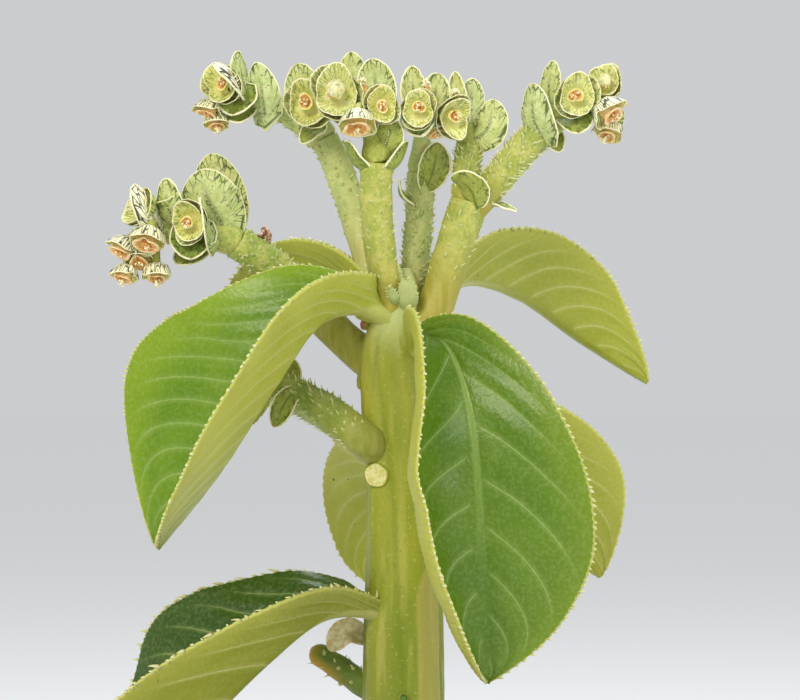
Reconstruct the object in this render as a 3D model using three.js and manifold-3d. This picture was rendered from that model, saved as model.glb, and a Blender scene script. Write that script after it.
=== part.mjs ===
// Potted Euphorbia echinulata: a ridged stem with folded, toothed leaves and prickly flower stalks
// that carry heads of bract cups, standing in gritty soil in a plain clay pot.
// Millimetres, +Z up, the front faces -Y, and the origin is the middle of the pot's underside.

import * as THREE from "three";
import { mergeVertices } from "three/addons/utils/BufferGeometryUtils.js";
import Module from "manifold-3d";

const wasm = await Module();
wasm.setup();

// Driving sizes
const GAP = 0.3; // clearance between pieces that touch
const SLIVER = 0.06; // detail finer than this is left out of fused pieces
const GOLDEN_ANGLE = 2.39996; // radians from one prickle to the next
const ACROSS = new THREE.Vector3(1, 0, 0);
const BACKWARD = new THREE.Vector3(0, 1, 0);
const UP = new THREE.Vector3(0, 0, 1);

const POT = {
  height: 95,
  footRadius: 36,
  wallTopRadius: 49,
  bandHeight: 21,
  bandRadius: 55,
  floor: 5,
  innerFootRadius: 31.5,
  innerRimRadius: 50.5,
  edge: 1.2,
  sides: 28,
  drainCount: 4,
  drainRadius: 3.5,
  drainOffset: 16,
  drainSides: 10,
};

const SOIL = { top: 84, mound: 2.2, waves: 0.45, waveTurn: 0.3, sides: 20, rings: 3 };
const PEBBLES = { count: 11, radius: 2.2, sunk: 0.3, nearest: 17, spread: 27, sizes: 4, flatness: 0.7 };

// The stem's middle and radius at each height, from the root's tip to the growing point
const STEM = [
  { z: 56, x: 0.5, radius: 1.5 },
  { z: 64, x: 0.3, radius: 6 },
  { z: 74, x: 0, radius: 10.4 },
  { z: 84, x: 0, radius: 11.6 },
  { z: 104, x: 0.2, radius: 10.4 },
  { z: 126, x: 0.1, radius: 9.3 },
  { z: 148, x: 0.1, radius: 8.7 },
  { z: 170, x: -0.2, radius: 8.1 },
  { z: 184, x: -0.5, radius: 7.6 },
  { z: 200, x: -1.9, radius: 7.2 },
  { z: 212, x: -2.3, radius: 6.5 },
  { z: 221, x: -1, radius: 4.8 },
  { z: 227, x: 0, radius: 3.2 },
  { z: 230, x: 0.3, radius: 1.4 },
];
const STEM_SIDES = 16;
const STEM_STEPS = 20;
const STEM_RIDGES = 5;
const STEM_RIDGE_DEPTH = 0.035; // as a share of the radius
const STEM_TWIST = 30; // millimetres up the stem for each radian that the ridges turn

// Discs that stand out of the stem: the round scar under the low stalk, buds, and old leaf scars below
const SCARS = [
  { z: 184.7, angle: -2.3, radius: 2.9, height: 1.2 },
  { z: 205, angle: -2.9, radius: 1.7, height: 1.1 },
  { z: 217.5, angle: -2.75, radius: 1.2, height: 1 },
  { z: 136.5, angle: -1.57, radius: 1.1, height: 0.9 },
  { z: 125, angle: 0.9, radius: 2.6, height: 0.6 },
  { z: 116, angle: -1.9, radius: 2.6, height: 0.6 },
  { z: 106, angle: 2.3, radius: 2.7, height: 0.6 },
  { z: 97, angle: -0.6, radius: 2.8, height: 0.6 },
];

const SCAR_SUNK = 1.5;
const SCAR_TOP = 0.85; // as a share of the radius
const SCAR_SIDES = 8;

// Small blades at the stem's growing point
const YOUNG_LEAVES = [
  { rib: [[-1.5, -4, 221.5], [-2.2, -7, 223.5], [-3.2, -8, 226]], face: [0.3, 1, 0.3], width: 1.2 },
  { rib: [[-1, -3.5, 223], [-1.3, -5, 227], [-2, -5.4, 231.5]], face: [0, 1, 0.1], width: 1.2 },
  { rib: [[0.5, -4, 220], [1, -7, 223], [0.6, -7.4, 227.8]], face: [0, 1, 0.2], width: 2 },
];

// Each leaf's rib runs from the stem to the tip, and face is the way its upper side looks.
// width is a half's own, and fold and curl are angles in radians at the base, the middle and the tip.
const LEAVES = [
  {
    name: "leaf_left",
    rib: [
      [-3, -3, 218.5], [-9.5, -9, 221.5], [-18, -14, 219],
      [-28.5, -16, 204.5], [-40.5, -13, 186], [-53.5, -8, 169],
    ],
    face: [-0.73, -0.49, 0.48],
    near: { width: 25.5, bulge: 1.35, base: 6.5, fold: [1.05, 0.75, 0.6], curl: [0.2, 0.1, 0.1] },
    far: { width: 33, bulge: 1.45, base: 6.5, fold: [1.05, 0.72, 0.6], curl: [0.1, -0.1, 0] },
  },
  {
    name: "leaf_front",
    rib: [
      [1, -3, 211], [5, -11, 214], [9.5, -18, 212], [14, -25, 199.5],
      [16, -27, 180.5], [17, -25, 159.5], [18, -20, 141],
    ],
    face: [0, -0.6, 0.8],
    near: { width: 24.5, bulge: 1.45, base: 5, fold: [0.8, 0.3, 0.2], curl: [0.2, 0.1, 0.1] },
    far: { width: 30, bulge: 1.08, base: 2, fold: [0.4, 0.05, 0.1], curl: [1.4, 1.6, 1.85, 2.1, 2.2] },
  },
  {
    name: "leaf_back_right_upper",
    rib: [
      [3, 1.5, 216.5], [8.5, 13, 225.5], [16.5, 24, 228],
      [28, 33, 224.5], [41.5, 38, 215], [57, 37, 204.5],
    ],
    face: [0.28, 0.67, 0.69],
    near: { width: 14, bulge: 1.2, base: 4.5, fold: [1, 0.85, 0.6], curl: [0.2, 0.2, 0.1] },
    far: { width: 17, bulge: 1.35, base: 4.5, fold: [0.8, 0.65, 0.5], curl: [0.1, 0, 0] },
  },
  {
    name: "leaf_back_right_lower",
    rib: [[1, 1, 205], [7, 9, 212], [12, 18, 212], [19, 30, 198], [33, 40, 178], [46.5, 42, 159]],
    face: [0.6, 0.77, 0.3],
    near: { width: 19, bulge: 2, base: 5, fold: [0.8, 0.5, 0.4], curl: [0.2, 0.2, 0.1] },
    far: { width: 19.5, bulge: 2.2, base: 5, fold: [0.8, 0.6, 0.5], curl: [0.1, 0, 0] },
  },
  {
    name: "leaf_behind",
    rib: [
      [-2, 2, 180], [-4, 14, 185.5], [-5, 26, 184.5],
      [-6, 34, 176.5], [-6.5, 36, 167], [-7, 33, 157.5],
    ],
    face: [-0.1, 0.9, 0.3],
    near: { width: 14, bulge: 1.4, base: 5, fold: [0.9, 0.5, 0.4], curl: [0.2, 0.2, 0.1] },
    far: { width: 14, bulge: 1.4, base: 5, fold: [0.9, 0.5, 0.4], curl: [0.1, 0, 0] },
  },
  {
    name: "leaf_back_left_upper",
    rib: [
      [-4, 2, 217.5], [-9.5, 10, 226.5], [-16.5, 18, 229.5],
      [-25, 26, 226], [-32, 32, 213.5], [-35, 31, 195],
    ],
    face: [-0.3, 0.6, 0.75],
    near: { width: 13, bulge: 1.4, base: 4.5, fold: [0.8, 0.5, 0.4], curl: [0.2, 0.2, 0.1] },
    far: { width: 14, bulge: 1.4, base: 4.5, fold: [0.8, 0.3, 0.3], curl: [0.1, 0, 0] },
  },
  {
    name: "leaf_lower_left",
    rib: [
      [-3.5, -3, 153.5], [-9, -8, 155.8], [-17.5, -13.5, 155],
      [-29, -17.5, 146], [-46, -17, 129.5], [-66, -10, 111.5],
    ],
    face: [-0.42, -0.3, 0.86],
    near: { width: 29, bulge: 1.7, base: 3, fold: [0.95, 0.93, 0.8], curl: [0.2, 0.1, 0.1] },
    far: { width: 30, bulge: 1.3, base: 9, fold: [0.6, 0.61, 0.4], curl: [0.1, 0, 0] },
  },
];
const LEAF_TEETH = 10; // on each edge
const LEAF_TOOTH = 1.3;
const LEAF_TIP = 0.5; // half of the tip's width
const LEAF_COLUMNS = 4; // strips across each face
const LEAF_FULLNESS = 0.8; // under 1 rounds the outline out
const CLASP = 0.35; // share of a blade's length over which its base narrows to nothing
const FLAT_CURL = 0.001; // keeps the curl's formula from dividing by zero
const LEAF_THICKNESS = { ribBase: 3.4, rib: 2.2, ribTip: 1.2, edgeBase: 1.6, edge: 0.9 };

// Each stalk is a line with its radius at even places, joined by its arms.
// prickles are spread over the stated share of the line.
const STALKS = [
  {
    name: "stalk_centre",
    lines: [
      {
        points: [[-2, -1, 219], [-4, -4, 228.5], [-5.5, -5, 238], [-6, -6, 247], [-5.5, -7, 253]],
        radii: [3.4, 3.4, 3.5, 3.6],
        prickles: { from: 0.55, to: 0.95, count: 8 },
      },
    ],
    bracts: [
      { rib: [[-7, -8, 250.5], [-10.5, -8, 252.5], [-12.6, -7.5, 257.5]], face: [0.7, 0.2, 0.6], width: 3.8 },
      { rib: [[-4, -8, 250.5], [-1, -8, 252.5], [1, -7.5, 257.5]], face: [-0.7, 0.2, 0.6], width: 3.6 },
    ],
  },
  {
    name: "stalk_left_top",
    lines: [
      {
        points: [[-3.5, 4, 219], [-8, 9, 233], [-12, 11, 245.5], [-15, 11, 254], [-17.5, 10.5, 259.5]],
        radii: [3.2, 3.3, 3.3, 3.2],
        prickles: { from: 0.7, to: 0.92, count: 6 },
      },
      {
        points: [[-16.5, 11, 257], [-22.5, 10, 262.5], [-27, 9, 265.5], [-31, 8, 267.5]],
        radii: [2.9, 2.6, 2.5],
        prickles: { from: 0.25, to: 0.95, count: 10 },
      },
    ],
    bracts: [],
  },
  {
    name: "stalk_inner",
    lines: [
      {
        points: [[0.5, 3, 221], [2.5, 6, 231], [3.5, 8, 240], [4, 8, 251.5]],
        radii: [2.9, 3, 3.1],
        prickles: { from: 0.3, to: 0.95, count: 13 },
      },
    ],
    bracts: [
      { rib: [[5, 6.5, 247.5], [5.5, 2.5, 251], [6, -1, 254]], face: [0, -0.6, 0.8], width: 2.6 },
      { rib: [[2, 6.5, 244.5], [-0.5, 3.5, 246.5], [-1, 1, 249.5]], face: [0.3, -0.6, 0.8], width: 1.9 },
    ],
  },
  {
    name: "stalk_right",
    lines: [
      {
        points: [[3, -1, 211], [7.5, 0, 223], [11.5, 0, 235], [14.5, 0, 244.5]],
        radii: [4, 4.1, 4.2],
        prickles: { from: 0.8, to: 0.95, count: 4 },
      },
      {
        points: [[13.5, 0, 242], [14, 1, 250], [14.5, 2, 257]],
        radii: [3.1, 3, 3],
        prickles: { from: 0.3, to: 0.93, count: 10 },
      },
      {
        points: [[14.5, 0, 242], [21.5, 0, 250.5], [27, 0, 257], [30.5, 0, 260.5]],
        radii: [3.3, 3.4, 3.4],
        prickles: { from: 0.25, to: 0.95, count: 13 },
      },
    ],
    bracts: [
      { rib: [[16.5, -3.5, 243], [14.5, -5.5, 247.5], [10.5, -5.5, 250]], face: [0.2, 0.5, 0.8], width: 3.6 },
      { rib: [[18, -0.5, 244.5], [21.5, -0.5, 243.5], [25, -1, 242.5]], face: [0, -0.3, 1], width: 1.9 },
    ],
  },
  {
    name: "stalk_left",
    lines: [
      {
        points: [
          [-3, 1, 206], [-13, 6, 214.5], [-19, 9.5, 220.5],
          [-26.5, 10, 228.5], [-33, 8, 233.5], [-37, 6.5, 236],
        ],
        radii: [4.2, 4, 3.8, 3.7],
        prickles: { from: 0.45, to: 0.95, count: 15 },
      },
    ],
    bracts: [],
  },
  {
    name: "stalk_low",
    lines: [
      {
        points: [
          [-5.5, -1, 190.3], [-7.8, -5.5, 191.8], [-12, -4.5, 195], [-18.5, 0.5, 199.5],
          [-26, 5.5, 203], [-33.5, 10, 207], [-38, 11.5, 210],
        ],
        radii: [4.1, 4, 3.7, 3.3],
        prickles: { from: 0.3, to: 0.95, count: 14 },
      },
    ],
    bracts: [
      { rib: [[-23, 2, 203.5], [-25.5, -0.5, 201], [-28.5, -0.5, 195]], face: [0, -0.9, 0.4], width: 2.4 },
      { rib: [[-23.5, 5.5, 204], [-24.5, 7, 207], [-24.5, 8, 210]], face: [0, -0.9, 0.3], width: 1.8 },
    ],
  },
  {
    name: "side_shoot",
    lines: [
      {
        points: [[-4, 1, 135.5], [-12, 5, 140], [-19.2, 6.5, 144.6]],
        radii: [3, 2.9, 1.8],
        prickles: { from: 0.5, to: 0.97, count: 10 },
      },
    ],
    bracts: [{ rib: [[-10, 4.5, 139.5], [-11.5, 2.5, 146], [-16.5, 1.5, 147]], face: [-0.2, -0.8, 0.6], width: 3 }],
  },
];
const STALK_SIDES = 8;
const STALK_STEP = 6.5; // millimetres between rings
const STALK_LEAST_STEPS = 3;
const PRICKLE = { length: 1.5, root: 0.55, sunk: 0.7, lean: 0.35, sides: 3 };

// Each head has an axis that its cups and bracts grow from.
// A cup is placed by the middle of its mouth and the way it faces, a bract by its rib.
const HEADS = [
  {
    name: "flowers_left",
    axis: [[-37.5, 6, 236.5], [-46, 5, 237.5], [-55, 4, 236.5]],
    bracts: [
      { rib: [[-40, 4, 239.5], [-43, 2, 245], [-44.5, 3, 252]], face: [0.2, 1, 0], width: 6.4 },
      { rib: [[-39.5, 8, 240.5], [-41.5, 10, 247.5], [-43, 11, 256]], face: [0.2, 1, 0.1], width: 5.6 },
      { rib: [[-41, 2, 236.5], [-43, -2, 239.5], [-44.5, -3, 245.5]], face: [-1, -0.2, 0], width: 4.6 },
      { rib: [[-44.5, 4, 235.5], [-47.5, 2, 233], [-50.5, 1, 231.5]], face: [0, -0.9, 0.4], width: 3 },
      { rib: [[-45.5, 2, 238], [-46.5, -1, 235.5], [-46.5, -3.5, 231.8]], face: [0, -1, 0.2], width: 4.6 },
      { rib: [[-53.5, 1, 238], [-56, -3.5, 243], [-59, -4.5, 248.2]], face: [-0.75, 0.6, 0], width: 3.2 },
      { rib: [[-49.5, 2, 239], [-51.5, -1, 243.5], [-52, -1.5, 249.8]], face: [0.4, 0.9, 0], width: 3.2 },
    ],
    cups: [
      { at: [-47, -5, 240], facing: [-0.3, -0.95, -0.1], radius: 4 },
      { at: [-52, 0, 246], facing: [-0.5, -0.45, 0.75], radius: 2.9 },
      { at: [-58.5, -2, 243.5], facing: [-0.7, -0.65, 0.3], radius: 3.8 },
      { at: [-56, -6, 235], facing: [-0.15, -0.52, -0.84], radius: 4.3 },
      { at: [-62, -2, 233.5], facing: [-0.5, -0.4, -0.75], radius: 3.8 },
      { at: [-61.5, 0, 227.8], facing: [-0.25, -0.35, -0.9], radius: 3.3 },
      { at: [-54, -1, 227.8], facing: [0.1, -0.35, -0.95], radius: 3.5 },
      { at: [-52.5, 12, 242], facing: [-0.4, 0.85, 0.35], radius: 3.6 },
      { at: [-59, 11, 235.5], facing: [-0.55, 0.8, -0.25], radius: 3.4 },
    ],
  },
  {
    name: "flowers_left_top",
    axis: [[-31.5, 8, 267.8], [-35.5, 6.5, 267.5], [-39, 5, 267]],
    bracts: [
      { rib: [[-30.5, 4, 264], [-31, 1.5, 268.5], [-32.5, 2, 275.5]], face: [0.3, 1, 0], width: 3.6 },
      { rib: [[-34.5, 4, 267], [-35.5, 1.5, 271.5], [-36.5, 1, 278]], face: [-0.8, 0.6, 0.1], width: 3 },
      { rib: [[-34.5, 5, 266], [-36.5, 2.5, 264], [-39, 1, 262.8]], face: [0, -0.9, 0.4], width: 2.6 },
      { rib: [[-36, 3, 268.5], [-37, 0.5, 266], [-37.5, -1, 263.5]], face: [-0.2, -1, 0], width: 4 },
    ],
    cups: [
      { at: [-40, -2, 270.5], facing: [-0.3, -0.95, 0.15], radius: 4.1 },
      { at: [-43.2, 0, 264], facing: [-0.35, -0.35, -0.86], radius: 3.4 },
      { at: [-41, 2, 261.5], facing: [0.1, -0.4, -0.9], radius: 3.1 },
      { at: [-39.5, 14, 270], facing: [-0.2, 0.9, 0.3], radius: 3.6 },
    ],
  },
  {
    name: "flowers_left_inner",
    axis: [[-18.2, 10.3, 260.8], [-19, 8, 263], [-20, 5, 265]],
    bracts: [
      { rib: [[-19, 11, 263], [-22, 13.5, 269.5], [-23.5, 14, 276.5]], face: [0, -1, 0.1], width: 4.2 },
      { rib: [[-18.5, 7, 261.5], [-20.5, 4, 260], [-22.5, 3, 257.5]], face: [-0.3, -0.9, 0.2], width: 2.2 },
    ],
    cups: [
      { at: [-21, -2, 266], facing: [-0.15, -0.97, 0.1], radius: 4.7 },
      { at: [-17, 17, 268], facing: [0.1, 0.95, 0.2], radius: 3.6 },
    ],
  },
  {
    name: "flowers_centre",
    axis: [[-5.5, -7, 254], [-6.5, -6.5, 258], [-8, -5, 264]],
    bracts: [
      { rib: [[-6.5, -4, 263.5], [-6, -1.5, 270], [-7, -1.5, 276]], face: [0, -1, 0.1], width: 4.2 },
      { rib: [[-9, -2, 264.5], [-11, 4, 271.5], [-11.5, 5, 278.2]], face: [0, 1, 0], width: 3.8 },
    ],
    cups: [
      { at: [-14.5, -9, 268], facing: [-0.1, -0.98, 0.15], radius: 5.2 },
      { at: [-9.9, -14.5, 259.8], facing: [0, -0.52, -0.86], radius: 4.3 },
      { at: [-4.5, -12.5, 265], facing: [0.05, -1, 0], radius: 3.6 },
      { at: [-8, 2, 271], facing: [0, -0.5, 0.85], radius: 2.6 },
      { at: [-11.5, 8, 266.5], facing: [-0.1, 0.9, 0.35], radius: 4 },
    ],
  },
  {
    name: "flowers_inner",
    axis: [[4, 8, 252.5], [4.2, 5, 257], [4.2, 0, 262]],
    bracts: [
      { rib: [[3.5, -1, 262.5], [2.2, -1.5, 268], [2, -1, 274.5]], face: [0.3, -0.95, 0], width: 2.9 },
      { rib: [[5, 0.5, 262.5], [7, -0.5, 268], [7.5, 0, 273]], face: [0, -1, 0.1], width: 3.3 },
      { rib: [[3.5, -4.5, 262], [3.5, -7.5, 260], [4, -9.5, 258.3]], face: [0, -1, 0.2], width: 3.6 },
    ],
    cups: [
      { at: [3.2, -12, 264], facing: [-0.05, -1, 0.05], radius: 3.7 },
      { at: [5.5, 4, 269], facing: [0.1, -0.4, 0.9], radius: 2.6 },
      { at: [3.5, 16, 265], facing: [0, 0.9, 0.35], radius: 3.8 },
    ],
  },
  {
    name: "flowers_right_inner",
    axis: [[14.5, 2, 257.8], [14.4, 1.5, 260], [14, 0, 263]],
    bracts: [
      { rib: [[16, 0, 258.5], [18.5, -2.5, 260.5], [20, -2, 267]], face: [0.3, 0.9, 0], width: 3.8 },
      { rib: [[14.5, 2, 263], [15.2, 4.5, 268], [15.3, 5, 272.3]], face: [0, 1, 0], width: 2.8 },
      { rib: [[13, 1, 263], [11.8, 2, 269.5], [11.5, 2, 273.5]], face: [0, -1, 0], width: 2 },
    ],
    cups: [
      { at: [11.5, -7, 262.5], facing: [0.45, -0.87, -0.18], radius: 4 },
      { at: [13.5, 10, 266.5], facing: [0.1, 0.8, 0.55], radius: 3.5 },
    ],
  },
  {
    name: "flowers_right",
    axis: [[31, 0, 261], [36, 1, 263], [41, 2, 264]],
    bracts: [
      { rib: [[31.2, -2, 258.5], [28.8, -5, 262], [28.2, -4.5, 270.3]], face: [0.65, 0.75, 0.1], width: 4 },
      { rib: [[32, 2, 260.5], [33.5, 0, 257.5], [34.5, -1, 255.5]], face: [0.2, -0.9, 0.3], width: 2.4 },
      { rib: [[33.5, 2, 263], [32.2, 1, 269], [33.2, 1, 275.8]], face: [0.5, 0.85, 0], width: 2.6 },
      { rib: [[37, 0.5, 263.5], [38, -3, 261.8], [38.5, -4.5, 259.3]], face: [0, -1, 0.2], width: 3.8 },
    ],
    cups: [
      { at: [38, -6, 267.5], facing: [0, -1, 0.05], radius: 4.3 },
      { at: [44.2, 0, 271], facing: [-0.1, -0.85, 0.5], radius: 3.8 },
      { at: [45.8, -4, 263.3], facing: [0.62, -0.42, -0.66], radius: 4.3 },
      { at: [45, 1, 259.3], facing: [-0.2, -0.4, -0.85], radius: 3.6 },
      { at: [41.5, 12, 268.5], facing: [0, 0.9, 0.35], radius: 3.8 },
      { at: [46.5, 10.5, 265], facing: [0.6, 0.8, 0], radius: 3.4 },
    ],
  },
  {
    name: "flowers_low",
    axis: [[-39, 12, 210.8], [-41, 12, 211.5], [-43, 12, 212]],
    bracts: [
      { rib: [[-40.5, 10.5, 211.5], [-42, 8, 214], [-44.5, 8, 217.5]], face: [0, -1, 0.3], width: 3.4 },
      { rib: [[-40.5, 13.5, 212], [-41.5, 16, 216], [-42.5, 17, 220]], face: [0, 1, 0], width: 3.4 },
    ],
    cups: [
      { at: [-43, 5.5, 210.5], facing: [-0.4, -0.9, -0.1], radius: 3.4 },
      { at: [-47, 12, 208.5], facing: [-0.8, 0, -0.6], radius: 3.4 },
      { at: [-45.5, 18.5, 213.5], facing: [-0.3, 0.9, 0.3], radius: 3.4 },
    ],
  },
];
const CUP_SIDES = 6;
const CUP_WALL = 0.7;
// A cup's sizes as shares of its mouth's radius. tips is how far its two pointed tips stand out.
const CUP = {
  depth: 0.95,
  tips: 0.12,
  foot: 0.4,
  waist: 0.85,
  waistDepth: 0.5,
  well: 0.4,
  wellDepth: 0.65,
  flower: 0.34,
};
const PEDICEL = { radius: 1.1, bend: 0.5, ring: 0.6 };
const AXIS = { radius: 2.4, tip: 1.7, sides: 6, steps: 3 };
const AXIS_PLACES = 20; // where cups and bracts can join an axis
const BRACT_THICKNESS = 0.8;
const BRACT_KEEL = 1.4; // the keel's thickness as a share of the edge's
const BRACT_ROWS = 4;
const BRACT_BASE = 1.3;
const BRACT_TIP = 0.4; // the blunt tip as a share of the width
const BRACT_FULLNESS = 0.5;
const BRACT_HALF = { bulge: 1.05, fold: [0.4, 0.3, 0.2], curl: [0.2, 0.2, 0.2] };

// Surface colours
function coat(colour, roughness) {
  return new THREE.MeshStandardMaterial({ color: colour, roughness, metalness: 0 });
}
const CLAY = coat("#b8683f", 0.85);
const EARTH = coat("#5b4a3a", 0.95);
const STEM_GREEN = coat("#a3b04a", 0.5);
const STALK_GREEN = coat("#93ab52", 0.55);
const LEAF_GREEN = coat("#6c9434", 0.4);
const FLOWER_GREEN = coat("#a9b96a", 0.6);

// Shapes that every piece uses

function vector(place) {
  return new THREE.Vector3(place[0], place[1], place[2]);
}

// A smooth line through hand-set places
function lineThrough(places) {
  return new THREE.CatmullRomCurve3(places.map(vector), false, "centripetal");
}

// A value read off evenly spaced ones, for a share from 0 to 1
function between(values, share) {
  const place = share * (values.length - 1);
  const low = Math.min(Math.floor(place), values.length - 2);
  return THREE.MathUtils.lerp(values[low], values[low + 1], place - low);
}

// One closed body from rings of points in step, capped straight across at both ends.
// The rings turn by the right hand about the way they follow each other.
function loft(rings) {
  const sides = rings[0].length;
  const triangles = [];
  for (let row = 0; row < rings.length - 1; row += 1) {
    for (let side = 0; side < sides; side += 1) {
      const here = row * sides + side;
      const beside = row * sides + ((side + 1) % sides);
      const ahead = here + sides;
      const across = beside + sides;
      if (side < sides / 2) {
        triangles.push(here, beside, across, here, across, ahead);
      } else {
        triangles.push(here, beside, ahead, beside, across, ahead);
      }
    }
  }
  const last = (rings.length - 1) * sides;
  for (let side = 0; side < sides / 2 - 1; side += 1) {
    const far = sides - 1 - side;
    triangles.push(side, far, far - 1, side, far - 1, side + 1);
    triangles.push(last + side, last + side + 1, last + far - 1, last + side, last + far - 1, last + far);
  }
  const geometry = new THREE.BufferGeometry();
  const places = rings.flat().flatMap((point) => point.toArray());
  geometry.setAttribute("position", new THREE.Float32BufferAttribute(places, 3));
  geometry.setIndex(triangles);
  return geometry;
}

// The solid that a closed geometry encloses
function solid(geometry) {
  geometry.deleteAttribute("normal");
  geometry.deleteAttribute("uv");
  const merged = mergeVertices(geometry);
  const corners = merged.index.array;
  const kept = [];
  for (let first = 0; first < corners.length; first += 3) {
    const [a, b, c] = corners.slice(first, first + 3);
    if (a !== b && b !== c && c !== a) {
      kept.push(a, b, c);
    }
  }
  const vertProperties = new Float32Array(merged.attributes.position.array);
  return new wasm.Manifold(new wasm.Mesh({ numProp: 3, vertProperties, triVerts: new Uint32Array(kept) }));
}

function join(solids) {
  return solids.reduce((whole, next) => whole.add(next));
}

// The largest body of a cut or fused solid, without slivers, loose scraps and sealed hollows
function wholePiece(cut) {
  const bodies = cut.simplify(SLIVER).decompose();
  return bodies.reduce((largest, body) => (body.volume() > largest.volume() ? body : largest));
}

function ringAround(centre, first, second, count, radiusAt, liftAt = () => 0) {
  const lift = new THREE.Vector3().crossVectors(first, second);
  return Array.from({ length: count }, (unused, side) => {
    const angle = (side / count) * 2 * Math.PI;
    return centre
      .clone()
      .addScaledVector(first, radiusAt(angle) * Math.cos(angle))
      .addScaledVector(second, radiusAt(angle) * Math.sin(angle))
      .addScaledVector(lift, liftAt(angle));
  });
}

// How far the first and last rings of a grown body move outward
function endShift(step, steps, grow) {
  return (step === steps ? grow : 0) - (step === 0 ? grow : 0);
}

// A round rod along a line, with its radius read off evenly spaced ones
function rod(line, radii, sides, steps, grow = 0) {
  const frames = line.computeFrenetFrames(steps, false);
  const rings = [];
  for (let step = 0; step <= steps; step += 1) {
    const radius = between(radii, step / steps) + grow;
    const centre = line.getPointAt(step / steps);
    centre.addScaledVector(frames.tangents[step], endShift(step, steps, grow));
    rings.push(ringAround(centre, frames.normals[step], frames.binormals[step], sides, () => radius));
  }
  return solid(loft(rings));
}

// A solid moved to a place and turned so that its own +Y looks along a direction
function planted(geometry, place, direction) {
  geometry.applyQuaternion(new THREE.Quaternion().setFromUnitVectors(BACKWARD, direction));
  geometry.translate(place.x, place.y, place.z);
  return solid(geometry);
}

// Leaves and bracts

// Half of a blade's width along its rib: a narrow or clasping base, a full middle and a pointed tip
function halfWidth(blade, half, share) {
  const swell = Math.max(0, Math.sin(Math.PI * share ** half.bulge));
  const base = half.base * (1 - THREE.MathUtils.smoothstep(share, 0, CLASP));
  return Math.hypot(half.width * swell ** blade.fullness, base, blade.tip * share ** 4);
}

// One ring across a blade: its upper face from edge to edge, then its lower face back again
function bladeRing(blade, share, tooth) {
  const centre = blade.line.getPointAt(share);
  const along = blade.line.getTangentAt(share);
  const up = blade.face.clone().addScaledVector(along, -blade.face.dot(along)).normalize();
  const side = new THREE.Vector3().crossVectors(along, up);
  const upper = [];
  const lower = [];
  for (let column = 0; column <= blade.columns; column += 1) {
    const across = (2 * column) / blade.columns - 1;
    const reach = Math.abs(across);
    const half = across < 0 ? blade.near : blade.far;
    const fold = between(half.fold, share);
    const curl = between(half.curl, share) + FLAT_CURL;
    const width = halfWidth(blade, half, share) + (reach === 1 ? tooth : 0);
    const angle = fold + curl * reach;
    const out = (width * (Math.sin(angle) - Math.sin(fold))) / curl;
    const rise = (width * (Math.cos(fold) - Math.cos(angle))) / curl;
    const place = centre
      .clone()
      .addScaledVector(side, Math.sign(across) * out)
      .addScaledVector(up, rise);
    const normal = up.clone();
    if (reach > 0) {
      normal.multiplyScalar(Math.cos(angle)).addScaledVector(side, -Math.sign(across) * Math.sin(angle));
    }
    const ribThickness = between(blade.thickness.rib, share) / (reach > 0 ? 1 : Math.cos(fold) ** 0.5);
    const edgeThickness = between(blade.thickness.edge, share);
    const offset = THREE.MathUtils.lerp(ribThickness, edgeThickness, reach) / 2;
    upper.push(place.clone().addScaledVector(normal, offset));
    lower.unshift(place.clone().addScaledVector(normal, -offset));
  }
  return [...upper, ...lower];
}

function bladeSolid(blade, rows, toothAt) {
  const rings = [];
  for (let row = 0; row <= rows; row += 1) {
    rings.push(bladeRing(blade, row / rows, toothAt(row)));
  }
  return solid(loft(rings));
}

function leafSolid(leaf) {
  const rows = 2 * LEAF_TEETH;
  const { ribBase, rib, ribTip, edgeBase, edge } = LEAF_THICKNESS;
  const blade = {
    ...leaf,
    line: lineThrough(leaf.rib),
    face: vector(leaf.face),
    columns: LEAF_COLUMNS,
    fullness: LEAF_FULLNESS,
    tip: LEAF_TIP,
    thickness: { rib: [ribBase, rib, rib, ribTip], edge: [edgeBase, edge, edge, edge] },
  };
  return bladeSolid(blade, rows, (row) => (row % 2 === 1 && row > 1 ? LEAF_TOOTH : 0));
}

function bractSolid(bract, grow = 0) {
  const thin = BRACT_THICKNESS + grow * 2;
  const half = { ...BRACT_HALF, width: bract.width + grow, base: BRACT_BASE + grow };
  const blade = {
    line: lineThrough(bract.rib),
    face: vector(bract.face).normalize(),
    fullness: BRACT_FULLNESS,
    tip: bract.width * BRACT_TIP,
    columns: 2,
    near: half,
    far: half,
    thickness: { rib: [thin * BRACT_KEEL, thin], edge: [thin, thin] },
  };
  return bladeSolid(blade, BRACT_ROWS, () => 0);
}

// The stem

const stemLine = lineThrough(STEM.map((station) => [station.x, 0, station.z]));
const stemRadius = lineThrough(STEM.map((station) => [station.radius, 0, station.z]));

// The stem's middle and radius at a height
function stemAt(height) {
  const above = STEM.findIndex((station) => station.z >= height);
  const low = STEM[above - 1];
  const high = STEM[above];
  const share = (height - low.z) / (high.z - low.z);
  const middle = new THREE.Vector3(THREE.MathUtils.lerp(low.x, high.x, share), 0, height);
  return { middle, radius: THREE.MathUtils.lerp(low.radius, high.radius, share) };
}

function stemBody(grow) {
  const rings = [];
  for (let step = 0; step <= STEM_STEPS; step += 1) {
    const share = step / STEM_STEPS;
    const centre = stemLine.getPoint(share);
    centre.z += endShift(step, STEM_STEPS, grow);
    const radius = stemRadius.getPoint(share).x + grow;
    const twist = centre.z / STEM_TWIST;
    const ridged = (angle) => radius * (1 + STEM_RIDGE_DEPTH * Math.cos(STEM_RIDGES * angle + twist));
    rings.push(ringAround(centre, ACROSS, BACKWARD, STEM_SIDES, ridged));
  }
  return solid(loft(rings));
}

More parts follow.
